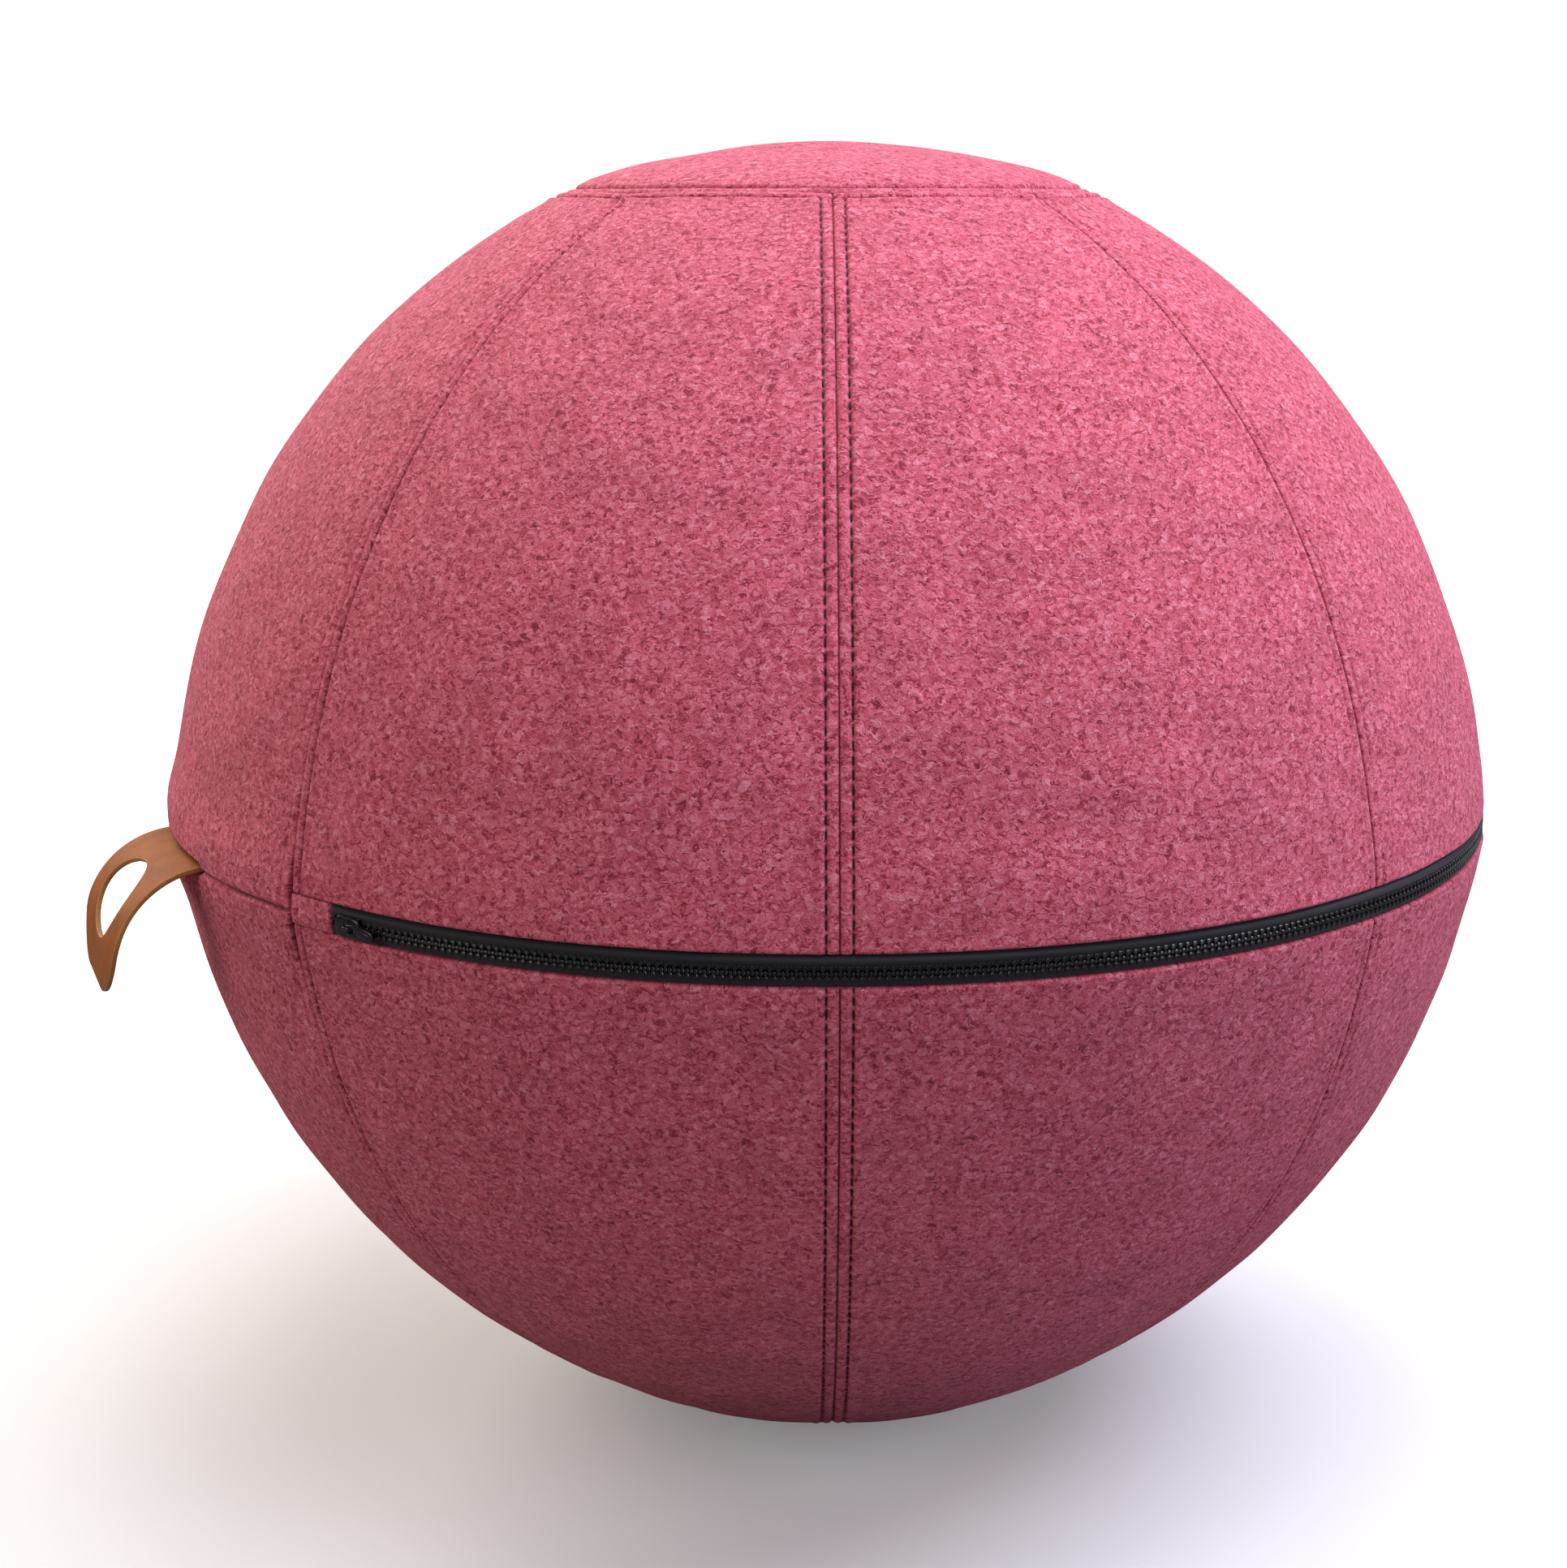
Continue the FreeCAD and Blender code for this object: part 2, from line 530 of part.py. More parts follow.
# --- inner ball ---------------------------------------------------------------------------------
def bladder_edges(depth):
    """Profile of the inner ball from the top of the axis to the bottom, below the cover."""
    equator = (BLADDER_EQUATOR_R - depth + BLADDER_DEPTH, 0.0)
    rim = SOLE.at(SOLE.end, depth)
    return [
        arc(CROWN, CROWN.end, CROWN.start, depth),
        line(CROWN.at(CROWN.start, depth), UPPER.at(UPPER.end, depth)),
        arc(UPPER, UPPER.end, UPPER.start, depth),
        line(UPPER.at(UPPER.start, depth), equator),
        line(equator, LOWER.at(LOWER.start, depth)),
        arc(LOWER, LOWER.start, LOWER.end, depth),
        line(LOWER.at(LOWER.end, depth), SOLE.at(SOLE.start, depth)),
        arc(SOLE, SOLE.start, SOLE.end, depth),
        line(rim, (0.0, rim[1])),
    ]


def valve_placement():
    """Frame of the valve: origin on the bladder's skin, +Z pointing out of the ball."""
    angle = math.radians(VALVE_BOW_ANGLE)
    skin = place(LOWER.at(angle, BLADDER_DEPTH))
    outward = V(math.cos(angle), 0, math.sin(angle))
    upright = FreeCAD.Placement(skin, FreeCAD.Rotation(V(0, 0, 1), outward))
    turn = FreeCAD.Placement(V(0, 0, 0), FreeCAD.Rotation(UP, VALVE_AZIMUTH - 90.0))
    return turn.multiply(upright)


def make_bladder():
    outer = bladder_edges(BLADDER_DEPTH)
    inner = bladder_edges(BLADDER_DEPTH + BLADDER_WALL)
    top = line(CROWN.at(CROWN.end, BLADDER_DEPTH), CROWN.at(CROWN.end, BLADDER_DEPTH + BLADDER_WALL))
    low = SOLE.at(SOLE.end, BLADDER_DEPTH)[1]
    bottom = line((0.0, low), (0.0, low + BLADDER_WALL))
    wires = Part.sortEdges(outer + inner + [top, bottom])
    skin = spun(face(wires[0]), 0, 360)
    where = valve_placement()
    port = Part.makeCylinder(VALVE_SEAT_R + PLUG_PLAY, 12, V(0, 0, -6))
    port.Placement = where.multiply(port.Placement)
    export("inner_bladder", [skin.cut(port).Solids[0]])

    seat = Part.makeCylinder(VALVE_SEAT_R, VALVE_SEAT_THICKNESS, V(0, 0, -VALVE_SEAT_THICKNESS))
    hole = Part.makeCylinder(VALVE_HOLE_R, 12, V(0, 0, -8))
    recess = Part.makeCylinder(PLUG_HEAD_R + 0.4, 1.0, V(0, 0, -1.0))
    seat = seat.cut([hole, recess])
    stem = Part.makeCone(PLUG_TIP_R, VALVE_HOLE_R - PLUG_PLAY, PLUG_LENGTH, V(0, 0, -PLUG_LENGTH - 0.9))
    head = Part.makeCylinder(PLUG_HEAD_R, PLUG_HEAD_THICKNESS, V(0, 0, -0.95))
    plug = stem.fuse(head).removeSplitter()
    for name, shape in (("valve_seat", seat), ("valve_plug", plug)):
        shape.Placement = where.multiply(shape.Placement)
        export(name, [shape.Solids[0]])


os.makedirs("parts", exist_ok=True)
make_gores("upper", UPPER)
make_gores("lower", LOWER)
make_top_cap()
make_bottom_cap()
make_threads()
make_zip_tape("zip_tape_upper", UPPER)
make_zip_tape("zip_tape_lower", LOWER)
make_zip_teeth()
make_zip_stops()
make_zip_facings()
make_slider()
make_handle()
make_bladder()
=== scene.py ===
import math

import bmesh
import bpy
import numpy as np
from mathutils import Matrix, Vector


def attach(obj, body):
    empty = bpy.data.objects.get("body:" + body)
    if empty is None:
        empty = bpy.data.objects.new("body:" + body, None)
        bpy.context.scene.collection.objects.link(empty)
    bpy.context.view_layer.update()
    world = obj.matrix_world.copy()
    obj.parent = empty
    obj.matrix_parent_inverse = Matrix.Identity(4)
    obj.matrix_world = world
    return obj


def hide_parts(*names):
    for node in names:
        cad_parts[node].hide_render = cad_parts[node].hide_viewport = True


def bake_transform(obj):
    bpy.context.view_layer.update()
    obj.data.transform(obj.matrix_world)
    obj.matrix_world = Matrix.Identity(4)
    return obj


# Looks of a felt-covered sitting ball: sewn felt panels, topstitching, equator zip, leather tab.
# Shapes are worked out in millimetres from the ball's own profile and stored in metres.
# Azimuth 0 is the front (-Y) and grows towards +X. Heights count from the equator plane.

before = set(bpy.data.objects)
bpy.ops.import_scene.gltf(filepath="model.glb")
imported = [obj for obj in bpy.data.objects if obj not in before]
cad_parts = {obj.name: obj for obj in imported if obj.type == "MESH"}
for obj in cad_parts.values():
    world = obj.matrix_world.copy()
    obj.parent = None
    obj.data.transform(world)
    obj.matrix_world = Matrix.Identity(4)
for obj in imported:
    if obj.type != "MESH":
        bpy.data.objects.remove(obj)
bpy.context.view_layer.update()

MM = 0.001
EQUATOR_Z = 295.0
RIDGE_R = 310.0
CONTACT_R = 50.0
HIP_HEIGHT = 32.0
UPPER_HIP, UPPER_SEAM, UPPER_BOW_R = (305.3, HIP_HEIGHT), (121.5, 281.2), 334.0
LOWER_HIP, LOWER_SEAM, LOWER_BOW_R = (304.2, -HIP_HEIGHT), (117.8, -277.5), 345.0
CROWN_HEIGHT, SOLE_BOW_R = 304.0, 310.0
GORES, GORE_ANGLE = 8, 45.0
FELT = 3.0
ZIP_START, ZIP_END = -45.0, 135.0
ZIP_FACING = 4.7           # degrees of felt at each end of the zip's window
ZIP_WINDOW = {"upper": 7.58, "lower": 5.59}
SHUT = 0.12                # from the equator plane to a gore that is sewn shut there
HANDLE_AZIMUTH, HANDLE_REACH = -67.5, 38.5

STITCH = 5.5               # needle hole to needle hole
FIRST_HOLE = STITCH / 2    # from a gore's edge at the equator
ROW = 5.1                  # topstitch row to seam
FINE = np.array([0.03, 0.15, 0.35, 0.6, 0.9, 1.3, 1.8, 2.4, 3.0, 3.5, 3.9, 4.2, 4.5, 4.75, 5.0,
                 5.25, 5.5, 5.8, 6.1, 6.5, 7.0, 7.6, 8.4, 9.6, 11.2, 13.4, 16.0])
EDGE = np.array([0.0, 0.12, 0.3, 0.55, 0.85, 1.2, 1.6, 2.1])
MIDDLE_COLUMNS = 40
ROW_STEP = STITCH / 4


# --- profile ---
def bow_points(start, end, radius, count=260):
    """Arc between two profile points, with its centre on the ball's side."""
    start, end = np.array(start, float), np.array(end, float)
    middle, run = (start + end) / 2, end - start
    chord = np.linalg.norm(run)
    side = np.array([-run[1], run[0]]) / chord
    side *= -np.sign(side @ middle)
    centre = middle + side * math.sqrt(radius**2 - chord**2 / 4)
    angles = [math.atan2(*(p - centre)[::-1]) for p in (start, end)]
    sweep = np.linspace(*angles, count)
    return centre + radius * np.column_stack([np.cos(sweep), np.sin(sweep)])


def running_length(points):
    return np.r_[0, np.cumsum(np.linalg.norm(np.diff(points, axis=0), axis=1))]


def read(line, known, at):
    """Both coordinates of a line of points, read between the places where they are known."""
    return [np.interp(at, known, line[:, k]) for k in (0, 1)]


def unit(vectors):
    return vectors / np.linalg.norm(vectors, axis=-1)[..., None]


def full_turn(count):
    return np.arange(count) * 2 * math.pi / count


def around(r, azimuth, height):
    """Points in metres at a radius, an azimuth in degrees and a height."""
    r, turn, height = np.broadcast_arrays(r, np.radians(azimuth), height)
    return np.stack([r * np.sin(turn), -r * np.cos(turn), EQUATOR_Z + height], -1) * MM


def smoothed(points, spacing=0.5, reach=4.0):
    """Even samples of a line with its kinks eased and its ends kept."""
    lengths = running_length(points)
    even = np.linspace(0, lengths[-1], int(lengths[-1] / spacing) + 1)
    line = np.column_stack(read(points, lengths, even))
    pad = int(4 * reach / spacing)
    before, after = 2 * line[0] - line[pad:0:-1], 2 * line[-1] - line[-2:-pad - 2:-1]
    padded = np.vstack([before, line, after])
    bell = np.exp(-(np.arange(-pad, pad + 1) * spacing / reach) ** 2 / 2)
    return np.column_stack([np.convolve(padded[:, k], bell / bell.sum(), "valid") for k in (0, 1)])


class Meridian:
    """A profile line from the ball's inside seam outwards, measured along its length."""

    def __init__(self, points):
        self.points = smoothed(points)
        self.lengths = running_length(self.points)
        self.total = self.lengths[-1]
        slope = np.gradient(self.points, self.lengths, axis=0)
        normal = np.column_stack([slope[:, 1], -slope[:, 0]])
        middle = len(normal) // 2
        normal *= np.sign(normal[middle] @ self.points[middle])
        self.normal = unit(normal)

    def radius(self, along):
        return np.interp(along, self.lengths, self.points[:, 0])

    def at(self, along, azimuth, lift):
        """Points in metres at a length along the profile, an azimuth in degrees and a lift."""
        (r, h), (nr, nh) = read(self.points, self.lengths, along), read(self.normal, self.lengths, along)
        return around(r + nr * lift, azimuth, h + nh * lift)

    def outward(self, along, azimuth):
        nr, nh = read(self.normal, self.lengths, along)
        turn = np.radians(azimuth)
        return np.stack([nr * np.sin(turn), -nr * np.cos(turn), nh + 0 * turn], -1)


def side_meridian(hip, seam, radius):
    return Meridian(np.vstack([[RIDGE_R, 0.0], bow_points(hip, seam, radius)]))


UPPER = side_meridian(UPPER_HIP, UPPER_SEAM, UPPER_BOW_R)
LOWER = side_meridian(LOWER_HIP, LOWER_SEAM, LOWER_BOW_R)
CROWN_RISE = CROWN_HEIGHT - UPPER_SEAM[1]
CROWN_BOW_R = (UPPER_SEAM[0] ** 2 + CROWN_RISE**2) / (2 * CROWN_RISE)
CROWN = Meridian(bow_points(UPPER_SEAM, (0.0, CROWN_HEIGHT), CROWN_BOW_R))
SOLE = Meridian(np.vstack([bow_points(LOWER_SEAM, (CONTACT_R, -EQUATOR_Z), SOLE_BOW_R),
                           [0.0, -EQUATOR_Z]]))


# --- meshes ---
def grid_faces(rows, cols, start=0, around=False):
    """Quads of a grid of points; with around, the last column joins the first."""
    index = np.arange(rows * cols).reshape(rows, cols) + start
    right = np.roll(index, -1, 1) if around else index[:, 1:]
    left = index if around else index[:, :-1]
    return np.stack([left[:-1], right[:-1], right[1:], left[1:]], -1).reshape(-1, 4)


def rim_order(rows, cols):
    """Indices of a grid's border, one array for each of its four sides."""
    index = np.arange(rows * cols).reshape(rows, cols)
    return [index[0, :-1], index[:-1, -1], index[-1, :0:-1], index[:0:-1, 0]]


def zipped(fine, fine_at, coarse, coarse_at):
    """Triangles between two closed loops of points, matched by their places."""
    faces, i, j = [], 0, 0
    n, m = len(fine), len(coarse)
    fine_at, coarse_at = np.r_[fine_at, 4.0], np.r_[coarse_at, 4.0]
    while i < n or j < m:
        if j >= m or (i < n and fine_at[i + 1] <= coarse_at[j + 1]):
            faces.append((fine[i % n], fine[(i + 1) % n], coarse[j % m]))
            i += 1
        else:
            faces.append((fine[i % n], coarse[(j + 1) % m], coarse[j % m]))
            j += 1
    return faces


def tube_faces(rows, cols):
    """Faces of a closed tube of points: its wall and its two ends."""
    last = (rows - 1) * cols
    ends = [list(range(cols))[::-1], list(range(last, last + cols))]
    return grid_faces(rows, cols, 0, True).tolist() + ends


def copies(block, count, size):
    """A block's faces, once for each copy of its points."""
    return [[k + number * size for k in face] for number in range(count) for face in block]


def joined(parts):
    """One mesh from several (points, faces)."""
    points, faces, start = [], [], 0
    for more_points, more_faces in parts:
        points.append(np.asarray(more_points, float))
        faces += [[int(k) + start for k in f] for f in more_faces]
        start += len(more_points)
    return np.vstack(points), faces


def new_piece(name, points, faces, material, attributes=None, smooth=True):
    mesh = bpy.data.meshes.new(name)
    faces = [list(map(int, face)) for face in faces]
    mesh.from_pydata(np.asarray(points).reshape(-1, 3).tolist(), [], faces)
    mesh.polygons.foreach_set("use_smooth", [smooth] * len(mesh.polygons))
    for key, values in (attributes or {}).items():
        values = np.asarray(values, np.float32)
        kind, field = ("FLOAT_VECTOR", "vector") if values.ndim == 2 else ("FLOAT", "value")
        mesh.attributes.new(key, kind, "POINT").data.foreach_set(field, values.ravel())
    for entry in material if isinstance(material, list) else [material]:
        mesh.materials.append(entry)
    piece = bpy.data.objects.new(name, mesh)
    bpy.context.scene.collection.objects.link(piece)
    return piece


def finish_piece(piece, body, slot, *nodes):
    """Face outwards, ride on a body and stand for CAD nodes."""
    work = bmesh.new()
    work.from_mesh(piece.data)
    bmesh.ops.recalc_face_normals(work, faces=work.faces)
    work.to_mesh(piece.data)
    work.free()
    if body:
        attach(piece, body)
    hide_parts(*nodes)
    return piece


def bell(x, middle, width):
    return np.exp(-(((x - middle) / width) ** 2))


def fade(x, low, high):
    t = np.clip((x - low) / (high - low), 0, 1)
    return t * t * (3 - 2 * t)


def uneven(u, v, seed, count=9, shortest=30.0, longest=110.0):
    """Gentle random waves over a panel, from -1 to 1."""
    draw = np.random.default_rng(seed)
    heading, length = draw.uniform(0, math.pi, count), draw.uniform(shortest, longest, count)
    phase = draw.uniform(0, 2 * math.pi, count)
    waves = [np.sin(2 * math.pi * (u * math.cos(a) + v * math.sin(a)) / n + p)
             for a, n, p in zip(heading, length, phase)]
    return sum(waves) / math.sqrt(count)


# --- materials ---
class Graph:
    """Short way to write the nodes of a material or a world."""

    def __init__(self, owner):
        owner.use_nodes = True
        self.owner, self.tree = owner, owner.node_tree

    def put(self, socket, value):
        if isinstance(value, bpy.types.NodeSocket):
            self.tree.links.new(value, socket)
        elif hasattr(value, "__len__") and socket.type == "RGBA":
            socket.default_value = (*value, 1.0)
        else:
            socket.default_value = value

    def add(self, kind, inputs=(), output=0, **settings):
        node = self.tree.nodes.new("ShaderNode" + kind)
        for key, value in settings.items():
            setattr(node, key, value)
        for key, value in dict(inputs).items():
            self.put(node.inputs[key], value)
        return node.outputs[output]

    def attribute(self, name, output="Fac"):
        return self.add("Attribute", output=output, attribute_name=name)

    def math(self, operation, a, b=0.0):
        return self.add("Math", {0: a, 1: b}, operation=operation)

    def noise(self, where, scale, detail=2.0, rough=0.5, output="Fac"):
        return self.add("TexNoise", {"Vector": where, "Scale": scale, "Detail": detail,
                                     "Roughness": rough}, output=output)

    def step(self, value, low, high, to=(0.0, 1.0)):
        return self.add("MapRange", {0: value, 1: low, 2: high, 3: to[0], 4: to[1]},
                        interpolation_type="SMOOTHSTEP")

    def mix(self, factor, a, b, blend="MIX"):
        node = self.tree.nodes.new("ShaderNodeMix")
        node.data_type, node.blend_type = "RGBA", blend
        for key, value in ((0, factor), (6, a), (7, b)):
            self.put(node.inputs[key], value)
        return node.outputs[2]

    def bands(self, where, scale, distortion, detail, direction):
        return self.add("TexWave", {"Vector": where, "Scale": scale, "Distortion": distortion,
                                    "Detail": detail},
                        output="Fac", wave_type="BANDS", bands_direction=direction)

    def bump(self, height, distance, strength):
        return self.add("Bump", {"Height": height, "Distance": distance, "Strength": strength})

    def stretch(self, where, scale):
        return self.add("Mapping", {"Vector": where, "Scale": scale})

    def surface(self, **inputs):
        for key, value in inputs.items():
            self.put(self.tree.nodes["Principled BSDF"].inputs[key.replace("_", " ")], value)
        return self.owner


def new_material(name):
    return Graph(bpy.data.materials.new(name))


def colour(red, green, blue):
    """Linear colour from display values of 0 to 255."""
    return tuple(((c / 255 + 0.055) / 1.055) ** 2.4 for c in (red, green, blue))


FELT_LIGHT, FELT_MID = colour(247, 152, 172), colour(228, 106, 126)
# The darkest felt colour on the next line is painted groove shade: partly pressed felt, partly the shadow
# in seams, rows and folds.
FELT_MID_DARK, FELT_DARK, FELT_PRESSED_SHADE = colour(196, 76, 96), colour(146, 46, 64), colour(84, 12, 32)
FELT_SHEEN = (1.0, 0.55, 0.62)
THREAD_DARK, THREAD_LIGHT = colour(30, 13, 21), colour(74, 40, 54)
TAPE_DARK, TAPE_LIGHT, TAPE_LINT = colour(26, 25, 28), colour(68, 67, 71), colour(84, 76, 80)
TOOTH_DARK, TOOTH_LIGHT = colour(8, 7, 9), colour(20, 19, 22)
ENAMEL_DARK, ENAMEL_BLUE, ENAMEL_RUB = colour(5, 5, 8), colour(12, 14, 24), colour(90, 90, 96)
LEATHER_DEEP, LEATHER_TAN, LEATHER_PALE = colour(140, 76, 30), colour(170, 96, 40), colour(186, 116, 54)
LEATHER_PORE, EDGE_PALE, EDGE_DEEP = colour(100, 54, 22), colour(206, 150, 90), colour(170, 112, 60)
NAP_PALE, NAP_DEEP = colour(196, 146, 104), colour(160, 108, 70)


def felt_material():
    """Melange felt: short curled fibres of three shades pressed together, darker in the seams, rows and
    folds, where the dark is painted shade, partly pressed felt and partly groove shadow.
    """
    g = new_material("felt_melange")
    cloth = g.attribute("cloth", "Vector")
    curl = g.noise(cloth, 0.34, 2.0, 0.6, "Color")
    curl = g.add("VectorMath", {0: curl, 1: (0.5, 0.5, 0.5)}, operation="SUBTRACT")
    curled = g.add("VectorMath", {0: curl, 1: (7.0, 7.0, 0.0), 2: cloth}, operation="MULTIPLY_ADD")

    def fibres(*sets):
        """Strongest of several sets of fibres: (angle, length, width, low, high, shift)."""
        total = 0.0
        for angle, length, width, low, high, shift in sets:
            turned = g.add("Mapping", {"Vector": curled, "Location": (shift, shift * 1.7, 0.0),
                                       "Rotation": (0, 0, math.radians(angle)),
                                       "Scale": (1 / length, 1 / width, 1.0)})
            total = g.math("MAXIMUM", total, g.step(g.noise(turned, 1.0, 1.0, 0.4), low, high))
        return total

    light = fibres((12, 3.4, 0.8, 0.56, 0.68, 3.1), (70, 2.8, 0.8, 0.58, 0.70, 11.7),
                   (-50, 3.0, 0.8, 0.58, 0.70, 23.9))
    dark = fibres((-8, 2.6, 1.0, 0.58, 0.70, 41.3), (50, 2.2, 0.95, 0.60, 0.71, 57.1),
                  (-62, 2.2, 0.95, 0.60, 0.71, 71.9))
    stretched = g.stretch(curled, (0.82, 1.15, 1.0))
    clumps = g.noise(stretched, 0.38, 4.0, 0.62)
    drift = g.noise(stretched, 0.11, 2.0, 0.5)
    cloud = g.noise(cloth, 0.035, 2.0, 0.5)

    tone = clumps
    for part, weight in ((drift, 0.2), (light, 0.13), (dark, -0.16)):
        tone = g.add("Math", {0: part, 1: weight, 2: tone}, operation="MULTIPLY_ADD")
    base = g.mix(g.step(tone, 0.38, 0.55), FELT_DARK, FELT_MID_DARK)
    base = g.mix(g.step(tone, 0.46, 0.67), base, FELT_MID)
    base = g.mix(g.step(tone, 0.60, 0.86), base, FELT_LIGHT)
    shade = g.step(cloud, 0.3, 0.7, (0.94, 1.06))
    base = g.mix(1.0, base, g.add("CombineColor", {0: shade, 1: shade, 2: shade}), "MULTIPLY")
    # Painted shade: the felt goes dark red in seams, stitch rows and folds, standing partly for pressed
    # fibres and partly for the shadow in those grooves.
    base = g.mix(g.math("MULTIPLY", g.attribute("press_and_shade"), 0.9), base, FELT_PRESSED_SHADE)

    return g.surface(Base_Color=base, Normal=g.bump(tone, 0.0018, 0.62), Roughness=0.92,
                     Specular_IOR_Level=0.1, Sheen_Weight=0.22, Sheen_Roughness=0.55,
                     Sheen_Tint=FELT_SHEEN)


def thread_material():
    """Twisted polyester thread."""
    g = new_material("thread_twist")
    where = g.attribute("cloth", "Vector")
    twist = g.bands(where, 1.15, 0.6, 1.0, "DIAGONAL")
    tone = g.mix(g.step(twist, 0.2, 0.8), THREAD_DARK, THREAD_LIGHT)
    return g.surface(Base_Color=tone, Normal=g.bump(twist, 0.00008, 0.8), Roughness=0.55,
                     Specular_IOR_Level=0.35)


def tape_material():
    """Woven polyester zip tape: fine ribs with a herringbone."""
    g = new_material("zip_tape_weave")
    where = g.attribute("cloth", "Vector")
    weave = g.math("MULTIPLY", g.bands(where, 0.95, 0.25, 0.0, "X"),
                   g.bands(where, 0.7, 0.15, 0.0, "DIAGONAL"))
    lint = g.noise(where, 1.3, 3.0, 0.7)
    tone = g.mix(weave, TAPE_DARK, TAPE_LIGHT)
    tone = g.mix(g.step(lint, 0.62, 0.78, (0.0, 0.5)), tone, TAPE_LINT)
    return g.surface(Base_Color=tone, Normal=g.bump(weave, 0.00012, 0.6), Specular_IOR_Level=0.3,
                     Sheen_Weight=0.15, Sheen_Roughness=0.4,
                     Roughness=g.step(lint, 0.3, 0.7, (0.5, 0.72)))


def moulded_material():
    """Black moulded plastic of the zip teeth, with a faint random haze in its tone and gloss."""
    g = new_material("zip_tooth_plastic")
    where = g.add("TexCoord", output="Object")
    speck = g.noise(where, 2600.0, 2.0, 0.6)
    haze = g.noise(where, 420.0, 2.0, 0.5)
    tone = g.mix(haze, TOOTH_DARK, TOOTH_LIGHT)
    return g.surface(Base_Color=tone, Roughness=g.step(haze, 0.3, 0.7, (0.2, 0.32)),
                     Normal=g.bump(speck, 0.00002, 0.5), Specular_IOR_Level=0.6)


def enamel_material():
    """Black enamelled metal of the slider, with bare metal showing where it rubs."""
    g = new_material("zip_enamel")
    where = g.add("TexCoord", output="Object")
    haze = g.noise(where, 300.0, 3.0, 0.6)
    rub = g.step(g.noise(where, 900.0, 4.0, 0.7), 0.66, 0.74)
    tone = g.mix(haze, ENAMEL_DARK, ENAMEL_BLUE)
    tone = g.mix(g.math("MULTIPLY", rub, 0.35), tone, ENAMEL_RUB)
    return g.surface(Base_Color=tone, Roughness=g.step(haze, 0.3, 0.75, (0.16, 0.34)), Metallic=0.35,
                     Normal=g.bump(g.noise(where, 1500.0, 2.0, 0.5), 0.00002, 0.4), Coat_Weight=0.4,
                     Coat_Roughness=0.12)


def leather_material():
    """Vegetable-tanned leather, smooth side: pores, faint creases and uneven dye."""
    g = new_material("leather_tan")
    where = g.attribute("cloth", "Vector")
    dye = g.noise(where, 0.055, 4.0, 0.6)
    streaks = g.noise(g.stretch(where, (0.42, 0.5, 1.0)), 1.0, 4.0, 0.65)
    cells = g.add("TexVoronoi", {"Vector": where, "Scale": 1.5, "Randomness": 1.0},
                  feature="DISTANCE_TO_EDGE", output="Distance")
    pores = g.step(g.noise(where, 2.4, 2.0, 0.5), 0.62, 0.75)
    tone = g.mix(g.step(dye, 0.3, 0.7), LEATHER_DEEP, LEATHER_TAN)
    tone = g.mix(g.step(streaks, 0.35, 0.75, (0.0, 0.5)), tone, LEATHER_PALE)
    tone = g.mix(g.math("MULTIPLY", pores, 0.4), tone, LEATHER_PORE)
    tone = g.mix(g.attribute("worn"), tone, LEATHER_DEEP)
    grain = g.math("ADD", g.step(cells, 0.0, 0.16), g.math("MULTIPLY", pores, -0.8))
    return g.surface(Base_Color=tone, Roughness=g.step(streaks, 0.3, 0.7, (0.5, 0.62)),
                     Normal=g.bump(grain, 0.00009, 0.55), Specular_IOR_Level=0.06)


def cut_edge_material(name, pale, deep):
    """Fibrous raw leather, as on the cut edge and the back."""
    g = new_material(name)
    where = g.attribute("cloth", "Vector")
    layers = g.noise(g.stretch(where, (0.5, 0.5, 6.0)), 1.0, 4.0, 0.7)
    rough = g.math("ADD", layers, g.noise(where, 3.2, 3.0, 0.7))
    tone = g.mix(g.step(layers, 0.3, 0.7), pale, deep)
    return g.surface(Base_Color=tone, Roughness=0.86, Normal=g.bump(rough, 0.00015, 0.7),
                     Sheen_Weight=0.2, Specular_IOR_Level=0.2)


def vinyl_material(name, deep, pale, gloss):
    """Soft vinyl with faint flow marks."""
    g = new_material(name)
    where = g.add("TexCoord", output="Object")
    flow = g.noise(where, 14.0, 3.0, 0.55)
    pits = g.noise(where, 700.0, 2.0, 0.5)
    return g.surface(Base_Color=g.mix(g.step(flow, 0.3, 0.7), deep, pale),
                     Roughness=g.step(flow, 0.3, 0.7, (gloss, gloss + 0.15)),
                     Normal=g.bump(pits, 0.00006, 0.4), Specular_IOR_Level=0.5)


felt = felt_material()
thread = thread_material()
tape = tape_material()
moulded = moulded_material()
enamel = enamel_material()
leather = leather_material()
cut_edge = cut_edge_material("leather_cut_edge", EDGE_PALE, EDGE_DEEP)
nap = cut_edge_material("leather_back", NAP_PALE, NAP_DEEP)
bladder_vinyl = vinyl_material("bladder_vinyl", colour(112, 116, 122), colour(138, 142, 148), 0.3)
valve_vinyl = vinyl_material("valve_vinyl", colour(214, 214, 210), colour(234, 234, 230), 0.35)


# --- felt relief ---
# Distances: x from the nearer vertical seam, e from the equator edge, w from the cap's seam.
SEAM_DEPTH = 1.25


def seam_groove(x):
    return -SEAM_DEPTH * bell(x, 0.0, 0.5)


def topstitched(x, show=1.0):
    """Height beside a seam: rib, stitched row and the felt that swells behind it."""
    ribs = bell(x, 2.6, 1.5) + bell(x, 7.3, 1.8)
    return (0.2 + 0.25 * show) * ribs - SEAM_DEPTH * show * bell(x, ROW, 0.72)


